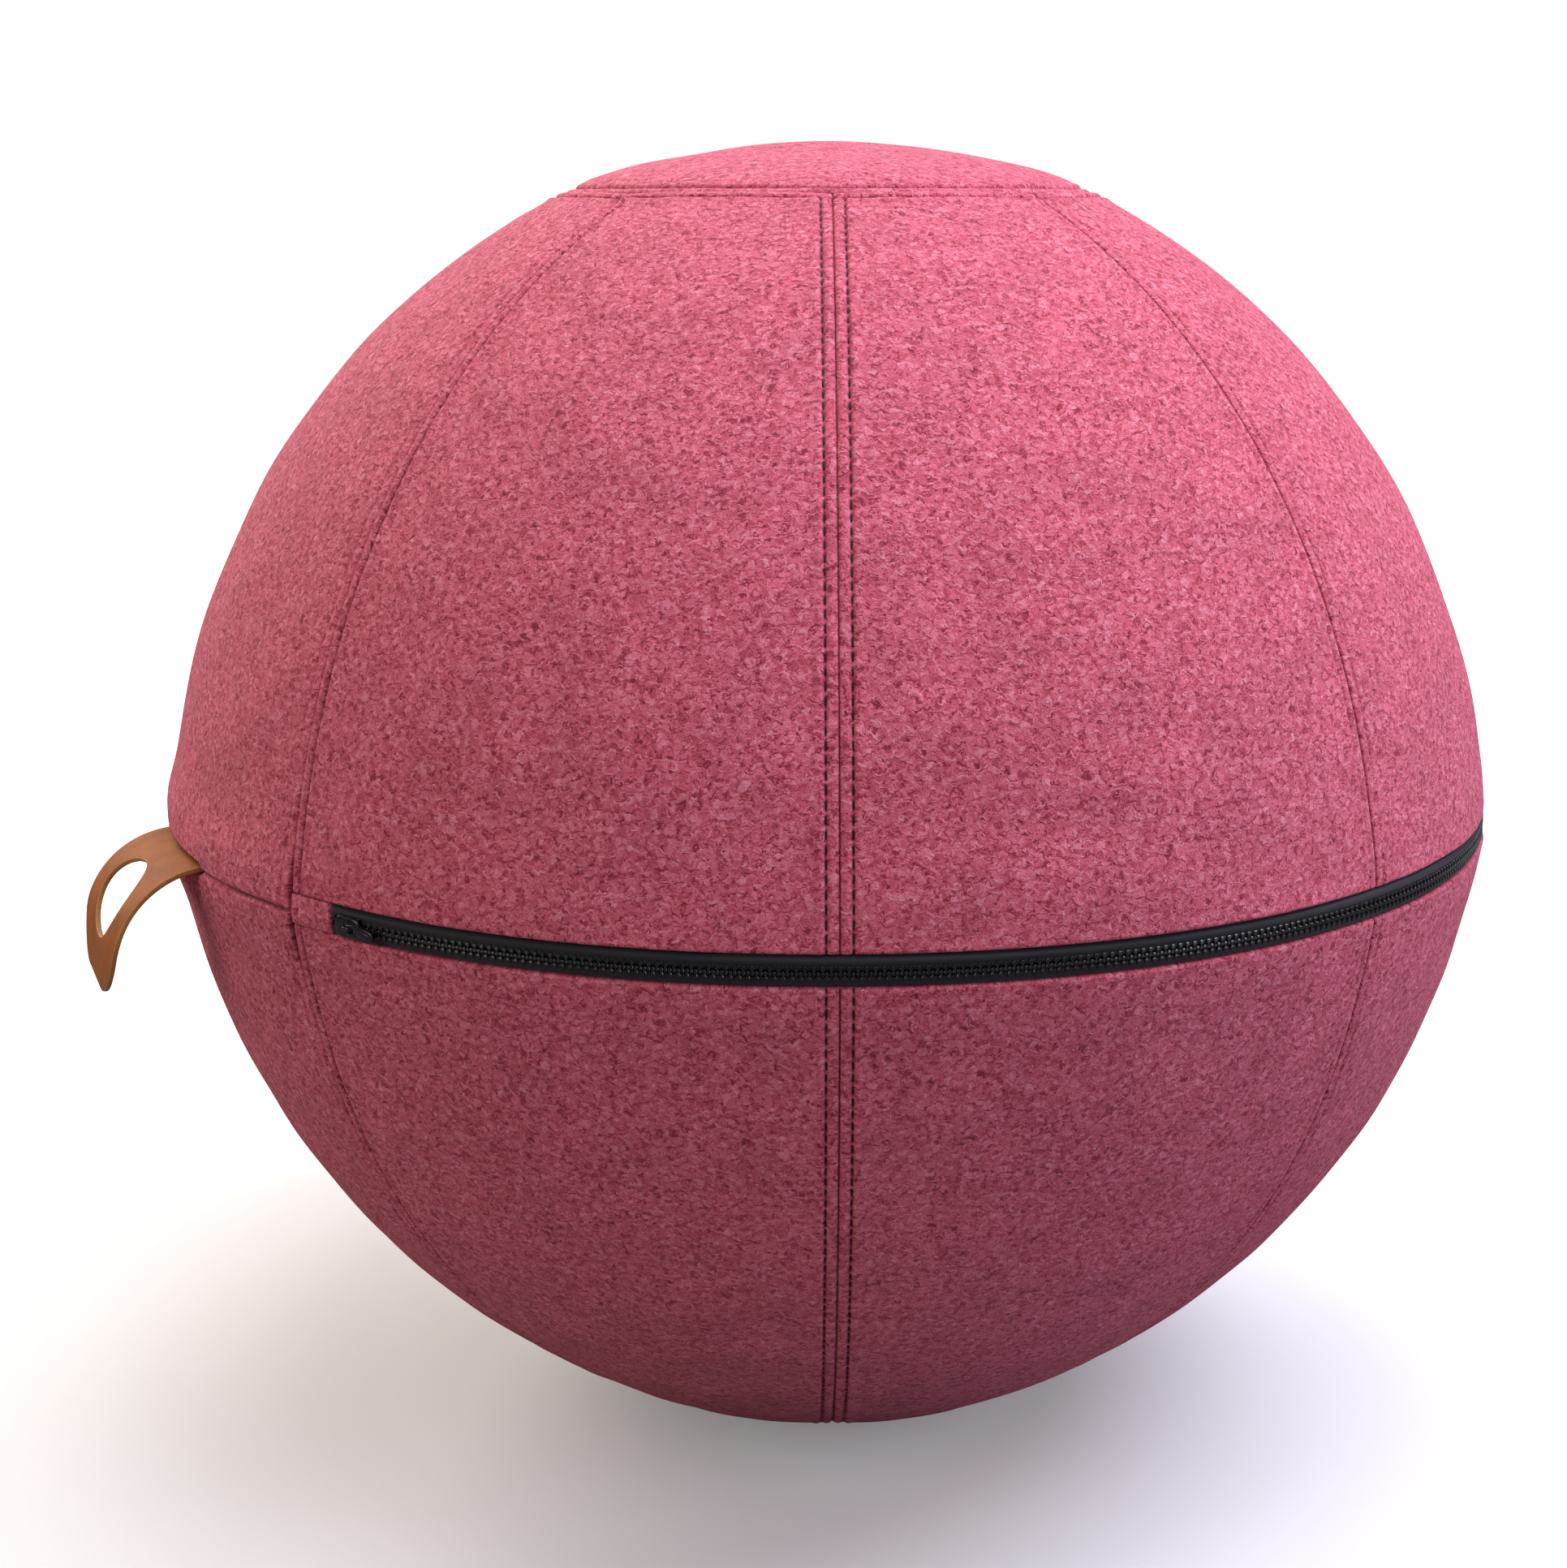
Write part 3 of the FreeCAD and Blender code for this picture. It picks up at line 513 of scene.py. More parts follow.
def seam_shows(seam):
    """How open the groove, the left row and the right row of a vertical seam lie; the same numbers scale
    the painted shade in them.
    """
    if seam % 4 == 0:
        return 1.0, 1.0, 1.0
    return (1.5, 0.18, 0.3) if seam < 4 else (0.4, 0.22, 1.25)


def needle_holes(turn):
    """Sharp peaks where the angle is a whole turn."""
    return ((1 + np.cos(turn)) / 2) ** 5


def rolled(distance, radius):
    """Edge that rolls over with a round of that radius."""
    t = np.clip(1 - distance / radius, 0, 1)
    return -radius * (1 - np.sqrt(1 - 0.97 * t * t))


def has_zip(first):
    """Whether the gore that starts at this azimuth meets the zip."""
    return ZIP_START <= first < ZIP_END


def pillow(across, wide):
    """Gentle crown of a gore between its seams."""
    return 1.1 * np.sin(math.pi * np.clip(across / wide, 0, 1)) ** 0.8 - 0.2


def ridge_swell(e, opened):
    """Felt stands proud beside the equator, and more so where it is sewn shut."""
    return (0.7 * bell(e, 14.0, 14.0)) if opened else (2.5 * bell(e, 11.0, 15.0))


def crown_swell(w):
    """The top cap's shoulder, which rises from its seam."""
    return 1.9 * fade(w, 0.0, 15.0) * (1 - fade(w, 18.0, 70.0))


def gore_rows(meridian, edge):
    """Lengths along the profile where a gore has rows of points."""
    first, last = edge + FIRST_HOLE, meridian.total - FINE[-5]
    count = int((last - first) / ROW_STEP)
    body = first + ROW_STEP * np.arange(count)
    return np.r_[edge + EDGE, body, meridian.total - FINE[-5::-1]]


def felt_piece(name, place, outer, steps, attributes, depths=(2.0, 2.7)):
    """Closed felt panel: relief on its outside, rolled sides and a plain inside of coarser steps."""
    along, azimuth, lift = outer
    rows, cols = lift.shape
    inner_rows = np.unique(np.r_[0:rows:steps[0], rows - 1])
    inner_cols = np.unique(np.r_[0:cols:steps[1], cols - 1])
    points = [place(along, azimuth, lift).reshape(-1, 3)]
    faces = [grid_faces(rows, cols)]
    sides = rim_order(rows, cols)
    loop = np.concatenate(sides)
    fine_at = np.concatenate([k + np.arange(len(s)) / len(s) for k, s in enumerate(sides)])
    ring, size = loop, rows * cols
    for depth in depths:
        deeper = np.minimum(lift.ravel()[loop], -depth)
        points.append(place(along.ravel()[loop], azimuth.ravel()[loop], deeper))
        new = size + np.arange(len(loop))
        faces.append(np.stack([ring, np.roll(ring, -1), np.roll(new, -1), new], -1))
        ring, size = new, size + len(loop)
    within = np.ix_(inner_rows, inner_cols)
    points.append(place(along[within], azimuth[within], -FELT + 0 * lift[within]).reshape(-1, 3))
    faces.append(grid_faces(len(inner_rows), len(inner_cols), size)[:, ::-1])
    coarse_sides = rim_order(len(inner_rows), len(inner_cols))
    marks = [inner_cols[:-1] / (cols - 1), inner_rows[:-1] / (rows - 1),
             1 - inner_cols[:0:-1] / (cols - 1), 1 - inner_rows[:0:-1] / (rows - 1)]
    coarse_at = np.concatenate([k + m for k, m in enumerate(marks)])
    band = zipped(ring, fine_at, np.concatenate(coarse_sides) + size, coarse_at)
    order = np.r_[np.arange(rows * cols), np.tile(loop, len(depths)),
                  np.arange(rows * cols).reshape(rows, cols)[within].ravel()]
    kept = {key: value.reshape(rows * cols, -1)[order] for key, value in attributes.items()}
    kept = {key: value if value.shape[1] > 1 else value[:, 0] for key, value in kept.items()}
    # Painted shade: the rolled sides and the inside of the panel are darkened fully.
    kept["press_and_shade"][rows * cols:] = 1.0
    all_faces = [f for block in faces for f in block] + band
    return new_piece(name, np.vstack(points), all_faces, felt, kept)


def make_gore(half, number, meridian):
    """Felt panel between two vertical seams, from the equator to a cap."""
    first = (number - 1) * GORE_ANGLE
    first -= 360.0 if first >= 180.0 else 0.0
    opened = has_zip(first)
    edge = ZIP_WINDOW[half] if opened else SHUT
    lengths = gore_rows(meridian, edge)
    across_shares = np.arange(1, MIDDLE_COLUMNS + 1) / (MIDDLE_COLUMNS + 1)
    radius = meridian.radius(lengths)[:, None]
    wide = radius * math.radians(GORE_ANGLE)
    near = FINE[None, :] + 0 * wide
    between = FINE[-1] + (wide - 2 * FINE[-1]) * across_shares
    across = np.hstack([near, between, (wide - near)[:, ::-1]])
    azimuth = first + np.degrees(across / radius)
    along = lengths[:, None] + 0 * across
    x, e, w = np.minimum(across, wide - across), along - edge, meridian.total - along

    left, right = seam_shows(number - 1), seam_shows(number % GORES)
    on_left = across < wide / 2
    groove, show = np.where(on_left, left[0], right[0]), np.where(on_left, left[2], right[1])
    show = np.maximum(show + 0.15 * (show < 1) * uneven(on_left * 40.0, along, 300 + number), 0)

    rowed = fade(w, 4.4, 5.6)
    holes = needle_holes(2 * math.pi * (along - edge - FIRST_HOLE) / STITCH) * fade(e, 0.5, 2.0)
    lift = pillow(across, wide) + 0.8 * groove * seam_groove(x) + seam_groove(w)
    lift += rowed * (topstitched(x, show) + 0.8 * show * holes * bell(x, ROW, 0.6)) + topstitched(w)
    lift += rolled(e, 1.3) if opened else -1.5 * bell(e, 0.0, 0.8)
    lift += ridge_swell(e, opened)
    seed = 100 * (half == "lower") + number
    cloth_u = across - wide / 2
    lift += 0.3 * uneven(cloth_u, along, seed) * fade(x, 3, 30) * fade(w, 3, 30)
    pucker = uneven(cloth_u, along, seed + 50, 5, 14.0, 26.0)
    lift += 0.11 * pucker * (bell(x, 8.0, 6.0) + bell(w, 9.0, 7.0))
    # Painted shade along the seams, stitch rows and equator edge, partly pressed felt and partly groove
    # shadow; it is lighter at the needle holes.
    press_and_shade = np.maximum.reduce([0.58 * groove * bell(x, 0.0, 0.42), 0.75 * bell(w, 0.0, 0.5),
                               rowed * show * bell(x, ROW, 0.65) * (0.8 - 0.7 * holes),
                               0.65 * bell(w, ROW, 0.55),
                               (0.35 if opened else 0.75) * bell(e, 0.0, 0.5)])
    if first < HANDLE_AZIMUTH < first + GORE_ANGLE:
        reach = np.abs(radius * np.radians(azimuth - HANDLE_AZIMUTH))
        room = 1.75 * (1 - fade(reach, HANDLE_REACH, 42.0))
        along = along + room * np.exp(-((e / 5.0) ** 2))
        lift += -0.25 * (1 - fade(reach, HANDLE_REACH, 44.0)) * bell(e, 2.0, 4.0)
    cloth = np.stack([cloth_u + 400 * number, along + 500 * (half == "lower"), 0 * along], -1)
    piece = felt_piece(f"{half}_felt_{number}", meridian.at, (along, azimuth, lift), (8, 6),
                       {"cloth": cloth, "press_and_shade": press_and_shade})
    finish_piece(piece, "ball", "felt", f"{half}_gore_{number}")


CAP_CLOTH = (5000.0, 0.0, 0.0)     # where the caps lie on the melange pattern
FLOOR_ROUND = (52.0, 80.0)         # the flat under the ball, and where its relief is back


def make_cap(name, meridian, node):
    """Round cap: rings from its seam to its middle."""
    steps = int(round(2 * math.pi * meridian.points[0, 0] / ROW_STEP / 4)) * 4
    azimuth = np.arange(steps) * 360.0 / steps
    inner = np.linspace(FINE[-1], meridian.total, 26)[1:-1]
    lengths = np.r_[FINE, inner]
    w, azimuth = np.meshgrid(lengths, azimuth, indexing="ij")
    stitches = round(2 * math.pi * (meridian.points[0, 0] - ROW) / STITCH)
    holes = needle_holes(np.radians(azimuth) * stitches)
    lift = -0.2 + 0.6 * fade(w, 0, 70) + (crown_swell(w) if meridian is CROWN else 0.0)
    lift = lift + 0.7 * seam_groove(w) + topstitched(w) + 0.7 * holes * bell(w, ROW, 0.6)
    from_middle = meridian.total - w
    flat_x = from_middle * np.sin(np.radians(azimuth))
    flat_y = from_middle * np.cos(np.radians(azimuth))
    lift += 0.3 * uneven(flat_x, flat_y, 17 + len(name)) * fade(w, 3, 30)
    lift += 0.16 * uneven(flat_x, flat_y, 71, 6, 14.0, 26.0) * bell(w, 9.0, 8.0)
    # Painted shade at the cap's seam and stitch ring, partly pressed felt and partly groove shadow; it is
    # lighter at the needle holes.
    press_and_shade = np.maximum(0.75 * bell(w, 0.0, 0.5), bell(w, ROW, 0.5) * (0.75 - 0.6 * holes))
    cloth = np.stack([flat_x, flat_y, 0 * w], -1) + CAP_CLOTH
    rows = len(lengths)
    if meridian is SOLE:
        lift = np.minimum(lift, 10.0 * fade(from_middle, *FLOOR_ROUND))
    outer = meridian.at(w, azimuth, lift).reshape(-1, 3)
    size = rows * steps
    pole = np.array([meridian.total]), np.array([0.0])
    middle = meridian.at(*pole, float(lift[-1].mean()))
    points, faces = [outer, middle], list(grid_faces(rows, steps, 0, True))
    ring = (rows - 1) * steps + np.arange(steps)
    faces += [(a, b, size) for a, b in zip(ring, np.roll(ring, -1))]
    previous, base = np.arange(steps), size + 1
    inside = [(0.03, 2.0), (0.03, 2.7), (0.2, FELT), (14.0, FELT), (60.0, FELT)]
    for where, depth in inside + [(meridian.total - 3.0, FELT)]:
        points.append(meridian.at(where + 0 * azimuth[0], azimuth[0], -depth))
        ring = base + np.arange(steps)
        faces += list(np.stack([previous, ring, np.roll(ring, -1), np.roll(previous, -1)], -1))
        previous, base = ring, base + steps
    points.append(meridian.at(*pole, -FELT))
    faces += [(b, a, base) for a, b in zip(previous, np.roll(previous, -1))]
    points = np.vstack(points)
    hidden = points[size + 1:] / MM * (1, 1, 0) + CAP_CLOTH
    cloth = np.vstack([cloth.reshape(-1, 3), CAP_CLOTH, hidden])
    # The middle point gets no painted shade; the inside gets full painted shade.
    press_and_shade = np.r_[press_and_shade.ravel(), 0.0, np.ones(len(hidden))]
    piece = new_piece(name, points, faces, felt, {"cloth": cloth, "press_and_shade": press_and_shade})
    finish_piece(piece, "ball", "felt", node)


# --- topstitching ---
TUBE_SIDES, THREAD_R = 7, 0.45


def tubes(centres, normals, radius):
    """Closed tubes along lines of points; arrays are (tube, point, 3)."""
    tangent = unit(np.gradient(centres, axis=1))
    side = unit(np.cross(tangent, normals))
    up, turn = np.cross(side, tangent), full_turn(TUBE_SIDES)
    ring = np.cos(turn)[:, None] * side[..., None, :] + np.sin(turn)[:, None] * up[..., None, :]
    count, length = centres.shape[:2]
    points = centres[..., None, :] + ring * (np.broadcast_to(radius, (count, length))[..., None, None] * MM)
    return points.reshape(-1, 3), copies(tube_faces(length, TUBE_SIDES), count, length * TUBE_SIDES)


def stitch_row(meridian, along, azimuth, slant, base):
    """Stitches whose ends are at the given (stitch, end) lengths and azimuths."""
    share = np.array([0.05, 0.2, 0.5, 0.8, 0.95])
    depth = np.array([-1.35, -0.28, 0.0, -0.28, -1.35])
    where = along[:, :1] + (along[:, 1:] - along[:, :1]) * share
    turn = azimuth[:, :1] + (azimuth[:, 1:] - azimuth[:, :1]) * share + slant * (share - 0.5)
    lift = base + depth + 0 * where
    return meridian.at(where, turn, lift), meridian.outward(where, turn)


def stitches_piece(name, node, rows):
    """Every stitch of some rows as one piece of thread."""
    centres = np.vstack([r[0] for r in rows])
    normals = np.vstack([r[1] for r in rows])
    draw = np.random.default_rng(len(name))
    centres = centres + normals * draw.normal(0, 0.05, (len(centres), 1, 1)) * MM
    points, faces = tubes(centres, normals, THREAD_R * np.array([0.8, 1.0, 1.04, 1.0, 0.8]))
    rings = len(points) // TUBE_SIDES
    around_it = np.tile(np.arange(TUBE_SIDES) * 0.4, rings)
    along_it = np.repeat(np.arange(rings) * 1.1, TUBE_SIDES)
    cloth = np.column_stack([along_it, around_it, 0 * around_it])
    finish_piece(new_piece(name, points, faces, thread, {"cloth": cloth}), "ball", "thread", node)


def make_stitches(half, meridian, cap, cap_name):
    """Rows beside every vertical seam, and rings on both sides of the cap's seam."""
    rows = []
    for number in range(GORES):
        seam = number * GORE_ANGLE
        for side in (-1, 1):
            panel = seam if side > 0 else seam - GORE_ANGLE
            opened = has_zip((panel + 180) % 360 - 180)
            edge = ZIP_WINDOW[half] if opened else SHUT
            first = edge + FIRST_HOLE
            count = int((meridian.total - ROW - 1.0 - first) / STITCH)
            along = first + STITCH * (np.arange(count)[:, None] + np.array([0, 1]))
            along = np.vstack([[first - STITCH * 0.46, first], along])
            azimuth = seam + side * np.degrees(ROW / meridian.radius(along))
            wide = meridian.radius(along).mean(1) * math.radians(GORE_ANGLE)
            swell = pillow(ROW, wide) + ridge_swell(along.mean(1) - edge, opened)
            rows.append(stitch_row(meridian, along, azimuth, 0.03, swell[:, None] - 1.0))
    stitches_piece(f"{half}_seam_stitches", f"{half}_seam_thread", rows)
    rings = []
    cap_lift = (crown_swell(ROW) if cap is CROWN else 0.0) - 1.2
    for line, length, base in ((meridian, meridian.total - ROW, -1.2), (cap, ROW, cap_lift)):
        count = round(2 * math.pi * (cap.points[0, 0] - ROW) / STITCH)
        azimuth = 360.0 / count * (np.arange(count)[:, None] + np.array([0, 1]))
        rings.append(stitch_row(line, length + 0 * azimuth, azimuth, 0.0, base))
    stitches_piece(f"{cap_name}_cap_stitches", f"{cap_name}_cap_thread", rings)


# --- zip ---
TAPE_R, TAPE_WIDTH = 307.0, 14.8
UNDER_FELT = 3.35          # from the felt's outside to the tape behind it


def make_tape(half, side):
    """One side of the zip's tape, from beside the teeth to its edge behind the felt."""
    hip = UPPER_HIP if side > 0 else LOWER_HIP

    def under(height):
        """Radius just inside the felt."""
        return RIDGE_R + (hip[0] - RIDGE_R) * height / HIP_HEIGHT - UNDER_FELT

    edge = 7.5 if side > 0 else 5.5
    face = [(308.0, 1.15), (308.45, 1.3), (308.75, 1.7), (308.9, 2.3), (308.8, 2.9), (308.65, 3.2)]
    if side > 0:
        face += [(309.1, 3.5), (309.4, 4.0), (309.5, 4.7), (309.35, 5.4), (308.9, 6.1), (308.1, 6.7)]
    else:
        face += [(308.75, 3.5), (308.6, 4.0), (307.8, 4.5)]
    face += [(306.9, edge - 0.4), (under(edge + 0.1), edge + 0.1), (under(9.0), 9.0), (under(14.0), 14.0)]
    line = np.array(face + [(r - 0.8, h) for r, h in face[::-1]])
    ends = (ZIP_START + ZIP_FACING + 0.06, ZIP_END - ZIP_FACING - 0.06)
    azimuth = np.linspace(*ends, 520)
    r, turn = np.meshgrid(line[:, 0], azimuth)
    height = side * np.broadcast_to(line[:, 1], r.shape)
    points = around(r, turn, height)
    rows, cols = r.shape
    *wall, start, end = tube_faces(rows, cols)
    girth = np.broadcast_to(running_length(line), r.shape)
    cloth = np.stack([np.radians(turn) * TAPE_R, girth, 0 * r], -1)
    piece = new_piece(f"{half}_zip_tape", points, wall + [start[::-1], end[::-1]], tape,
                      {"cloth": cloth.reshape(-1, 3)})
    finish_piece(piece, "ball", "zip_tape", f"zip_tape_{half}")


def lofts(azimuths, side, stations):
    """Chamfered blocks at azimuths: stations are (height, half length, inner r, outer r, chamfer)."""
    loops = []
    for _, half, low, high, cut in stations:
        loops.append([(half - cut, low), (half, low + cut), (half, high - cut), (half - cut, high),
                      (cut - half, high), (-half, high - cut), (-half, low + cut), (cut - half, low)])
    loops = np.array(loops)
    heights = side * np.array([s[0] for s in stations])
    azimuths = np.asarray(azimuths, float)[:, None, None]
    r = loops[None, :, :, 1] + 0 * azimuths
    turn = azimuths + np.degrees(loops[None, :, :, 0] / r)
    points = around(r, turn, heights[None, :, None])
    rows, cols = loops.shape[:2]
    return points.reshape(-1, 3), copies(tube_faces(rows, cols), len(azimuths), rows * cols)


# Stations of the moulded parts, as lofts() reads them.
TOOTH = [(3.05, 0.7, 307.6, 309.15, 0.2), (2.7, 1.0, 307.0, 309.45, 0.35),
         (1.7, 0.95, 306.8, 309.6, 0.35), (1.1, 0.62, 306.9, 309.45, 0.25),
         (0.55, 0.56, 306.9, 309.4, 0.25), (-0.1, 0.86, 306.8, 309.5, 0.3),
         (-0.6, 0.8, 306.9, 309.4, 0.3), (-0.95, 0.45, 307.3, 309.1, 0.2)]
STOP = [(3.5, 0.7, 307.0, 309.3, 0.25), (3.1, 0.95, 306.8, 309.6, 0.3),
        (1.4, 0.95, 306.8, 309.6, 0.3), (1.0, 0.7, 307.0, 309.3, 0.25)]
RETAINER = [(-3.5, 1.3, 307.1, 309.2, 0.3), (-3.1, 1.65, 306.8, 309.6, 0.4),
            (3.1, 1.65, 306.8, 309.6, 0.4), (3.5, 1.3, 307.1, 309.2, 0.3)]
SLIDER_AZIMUTH = -38.15
TOOTH_PITCH, CHAIN_R = 3.25, 308.1
TOOTH_STEP = math.degrees(TOOTH_PITCH / CHAIN_R)


def make_chain():
    """Both rows of teeth, the two stops beside the slider and the retainer at the far end."""
    start, last = SLIDER_AZIMUTH + 0.1, ZIP_END - ZIP_FACING - 1.2
    count = int((last - start) / TOOTH_STEP)
    for half, side, shift in (("upper", 1, 0.0), ("lower", -1, 0.5)):
        azimuths = start + (np.arange(count) + shift) * TOOTH_STEP
        points, faces = lofts(azimuths, side, TOOTH)
        piece = new_piece(f"{half}_zip_teeth", points, faces, moulded, smooth=False)
        finish_piece(piece, "ball", "zip_teeth", f"zip_teeth_{half}")
    stops = joined(lofts([ZIP_START + ZIP_FACING + 0.35], side, STOP) for side in (1, -1))
    retainer = lofts([ZIP_END - ZIP_FACING - 0.6], 1, RETAINER)
    for name, mesh, node in (("zip_stops", stops, "zip_end_stops"),
                             ("zip_chain_end", retainer, "zip_retainer")):
        finish_piece(new_piece(name, *mesh, moulded, smooth=False), "ball", "zip_teeth", node)


FACING_TOP, FACING_FOOT = 7.45, -5.45


def make_facing(name, first, last, node, seam_first):
    """Felt that fills the window beside a vertical seam, folded under at its other edges."""
    azimuth = np.linspace(first, last, 60)
    ends = np.degrees(EDGE / RIDGE_R)
    azimuth = np.unique(np.r_[azimuth, first + ends, last - ends])
    height = np.r_[np.linspace(FACING_FOOT, FACING_TOP, 45), FACING_FOOT + EDGE, FACING_TOP - EDGE]
    tall, turn = np.meshgrid(np.unique(height), azimuth, indexing="ij")
    seam_side, free_side = np.radians(turn - first) * RIDGE_R, np.radians(last - turn) * RIDGE_R
    if not seam_first:
        seam_side, free_side = free_side, seam_side
    lift = seam_groove(seam_side) + topstitched(seam_side) * 0.6 + rolled(free_side, 1.5)
    lift += -1.3 * bell(tall, FACING_TOP, 0.5) - 0.9 * bell(tall, FACING_FOOT, 0.5) + 0.25
    lift += 0.15 * uneven(seam_side, tall, 5, 5, 9.0, 22.0) - 0.35 * fade(seam_side, 8, 22)
    # Painted shade in the seam and under the folds at the top and foot, partly pressed felt and partly
    # groove shadow.
    press_and_shade = np.maximum.reduce([bell(seam_side, 0, 0.5), 0.9 * bell(tall, FACING_TOP, 0.42),
                               0.5 * bell(tall, FACING_FOOT, 0.4)])

    def place(along, azimuths, lifted):
        slope = (RIDGE_R - np.where(along > 0, UPPER_HIP[0], LOWER_HIP[0])) / HIP_HEIGHT
        ridge = RIDGE_R - slope * (np.sqrt(along**2 + 9.0) - 3.0)
        return around(ridge + lifted, azimuths, along)

    cloth = np.stack([np.radians(turn) * RIDGE_R, tall + 700, 0 * tall], -1)
    piece = felt_piece(name, place, (tall, turn, lift), (5, 6), {"cloth": cloth, "press_and_shade": press_and_shade})
    finish_piece(piece, "ball", "felt", node)


def rounded_edge(half, rounding):
    """Insets and heights from the middle of a plate's edge up to its face."""
    return [(rounding * (1 - math.cos(a)), half - rounding * (1 - math.sin(a)))
            for a in np.radians([0, 30, 60, 90])]


UPPER_FACE, CUT_FACE, LOWER_FACE = 0, 1, 2


def ring_plate(outer, inner, thickness, rounding, rings, dome=0.0):
    """Plate between two outlines, with rounded edges and the kind of each face."""
    outer, inner = np.asarray(outer, float), np.asarray(inner, float)
    span = np.linalg.norm(outer - inner, axis=1)[:, None]
    half, edge = thickness / 2, rounded_edge(thickness / 2, rounding)
    section = [(0, inset, height) for inset, height in edge]       # place from inner 0 to outer 1
    section += [(k / rings, 0.0, half) for k in range(1, rings)]
    section += [(1, -inset, height) for inset, height in edge[::-1]]
    top_count = len(section)
    section += [(p, i, -h) for p, i, h in section[::-1]]
    points = []
    for share, inset, height in section:
        where = share + inset / span
        spot = inner + (outer - inner) * where
        crown = dome * np.clip(1 - (2 * np.clip(where, 0, 1) - 1) ** 2, 0, 1) if height > 0 else 0 * where
        points.append(np.column_stack([spot, height + crown[:, 0]]))
    count, loops = len(outer), len(section)
    points = np.array(points)
    index = np.arange(loops * count).reshape(loops, count)
    after = np.roll(index, -1, 0)
    faces = np.stack([index, after, np.roll(after, -1, 1), np.roll(index, -1, 1)], -1)
    kind = np.full((loops, count), CUT_FACE)
    kind[3:top_count - 4] = UPPER_FACE
    kind[top_count + 3:loops - 4] = LOWER_FACE
    return points.reshape(-1, 3), faces.reshape(-1, 4), kind.ravel()


def disc_plate(outline, thickness, rounding, dome=0.0, rings=5):
    """Closed plate with rounded edges and a domed top inside one outline."""
    outline = np.asarray(outline, float)
    centre = outline.mean(0)
    span = np.linalg.norm(outline - centre, axis=1)[:, None]
    half = thickness / 2
    section = [(k / rings, 0.0, half) for k in range(1, rings)]
    section += [(1, inset, height) for inset, height in rounded_edge(half, rounding)[::-1]]
    section += [(p, i, -h) for p, i, h in section[::-1]]
    rows = []
    for share, inset, height in section:
        where = share - inset / span
        crown = dome * (1 - where[:, 0] ** 2) if height > 0 else 0 * where[:, 0]
        rows.append(np.column_stack([centre + (outline - centre) * where, height + crown]))
    points = np.vstack(rows + [[[*centre, half + dome]], [[*centre, -half]]])
    count = len(outline)
    faces = grid_faces(len(section), count, 0, True).tolist()
    top, bottom = len(points) - 2, len(points) - 1
    last = (len(section) - 1) * count
    for k in range(count):
        faces.append([k, (k + 1) % count, top])
        faces.append([last + (k + 1) % count, last + k, bottom])
    return points, faces


def superellipse(half_x, half_y, power, count=56, taper=0.0, centre=(0.0, 0.0)):
    """Outline of a rounded rectangle, narrower towards +x with a positive taper."""
    turn = full_turn(count)
    x = np.sign(np.cos(turn)) * np.abs(np.cos(turn)) ** (2 / power) * half_x
    y = np.sign(np.sin(turn)) * np.abs(np.sin(turn)) ** (2 / power) * half_y
    return np.column_stack([centre[0] + x, centre[1] + y * (1 - taper * x / half_x)])


def beside(azimuth, out, sideways, height):
    """Points in metres: out from the axis at an azimuth, sideways from there, and a height."""
    turn = math.radians(azimuth)
    spot = (out[:, None] * np.array([math.sin(turn), -math.cos(turn)])
            + sideways[:, None] * np.array([math.cos(turn), math.sin(turn)]))
    return np.column_stack([spot, EQUATOR_Z + height]) * MM


def on_slider(points):
    """Slider coordinates (along the chain, height, radius) to metres."""
    return beside(SLIDER_AZIMUTH, points[:, 2], points[:, 0], points[:, 1])


def lifted_to(height, part):
    points, faces = part
    return points + (0, 0, height), faces


def swept(path, half_width, half_height, sides=12):
    """Closed bar of rounded section along a path in the (along, radius) plane."""
    path = np.asarray(path, float)
    tangent = unit(np.gradient(path, axis=0))
    normal = np.column_stack([-tangent[:, 1], tangent[:, 0]])
    section = superellipse(half_width, half_height, 3.2, sides)
    points = []
    for spot, n in zip(path, normal):
        points += [(spot[0] + n[0] * b, a, spot[1] + n[1] * b) for a, b in section]
    return np.array(points), tube_faces(len(path), sides)


def make_slider():
    """The slider's two plates, post, side lips and arch."""
    plate = superellipse(7.0, 4.25, 3.4, taper=0.07)
    post = superellipse(1.2, 0.95, 2.6, 24, centre=(-4.8, 0.0))
    sweep = np.radians(np.linspace(180, 0, 17))
    arch = np.column_stack([1.2 + 2.65 * np.cos(sweep), 311.0 + 2.15 * np.sin(sweep) ** 0.8])
    parts = [lifted_to(310.55, disc_plate(plate, 1.25, 0.35, dome=0.45)),
             lifted_to(305.45, disc_plate(plate, 1.25, 0.35)),
             lifted_to(308.0, disc_plate(post, 4.6, 0.2)),
             swept(arch, 0.8, 0.42)]
    for side in (-1, 1):
        lip = superellipse(6.2, 0.42, 4.0, 40, centre=(0.0, side * 3.78))
        for low, high in ((305.9, 307.15), (309.05, 310.1)):
            parts.append(lifted_to((low + high) / 2, disc_plate(lip, high - low, 0.15)))
    points, faces = joined(parts)
    piece = new_piece("zip_slider_body", on_slider(points), faces, enamel)
    finish_piece(piece, "slider", "zip_metal", "zip_slider")


PULLER_EYE = 2.4           # from the arch to the middle of the puller's hole
PULLER_DROOP = math.radians(6.5)


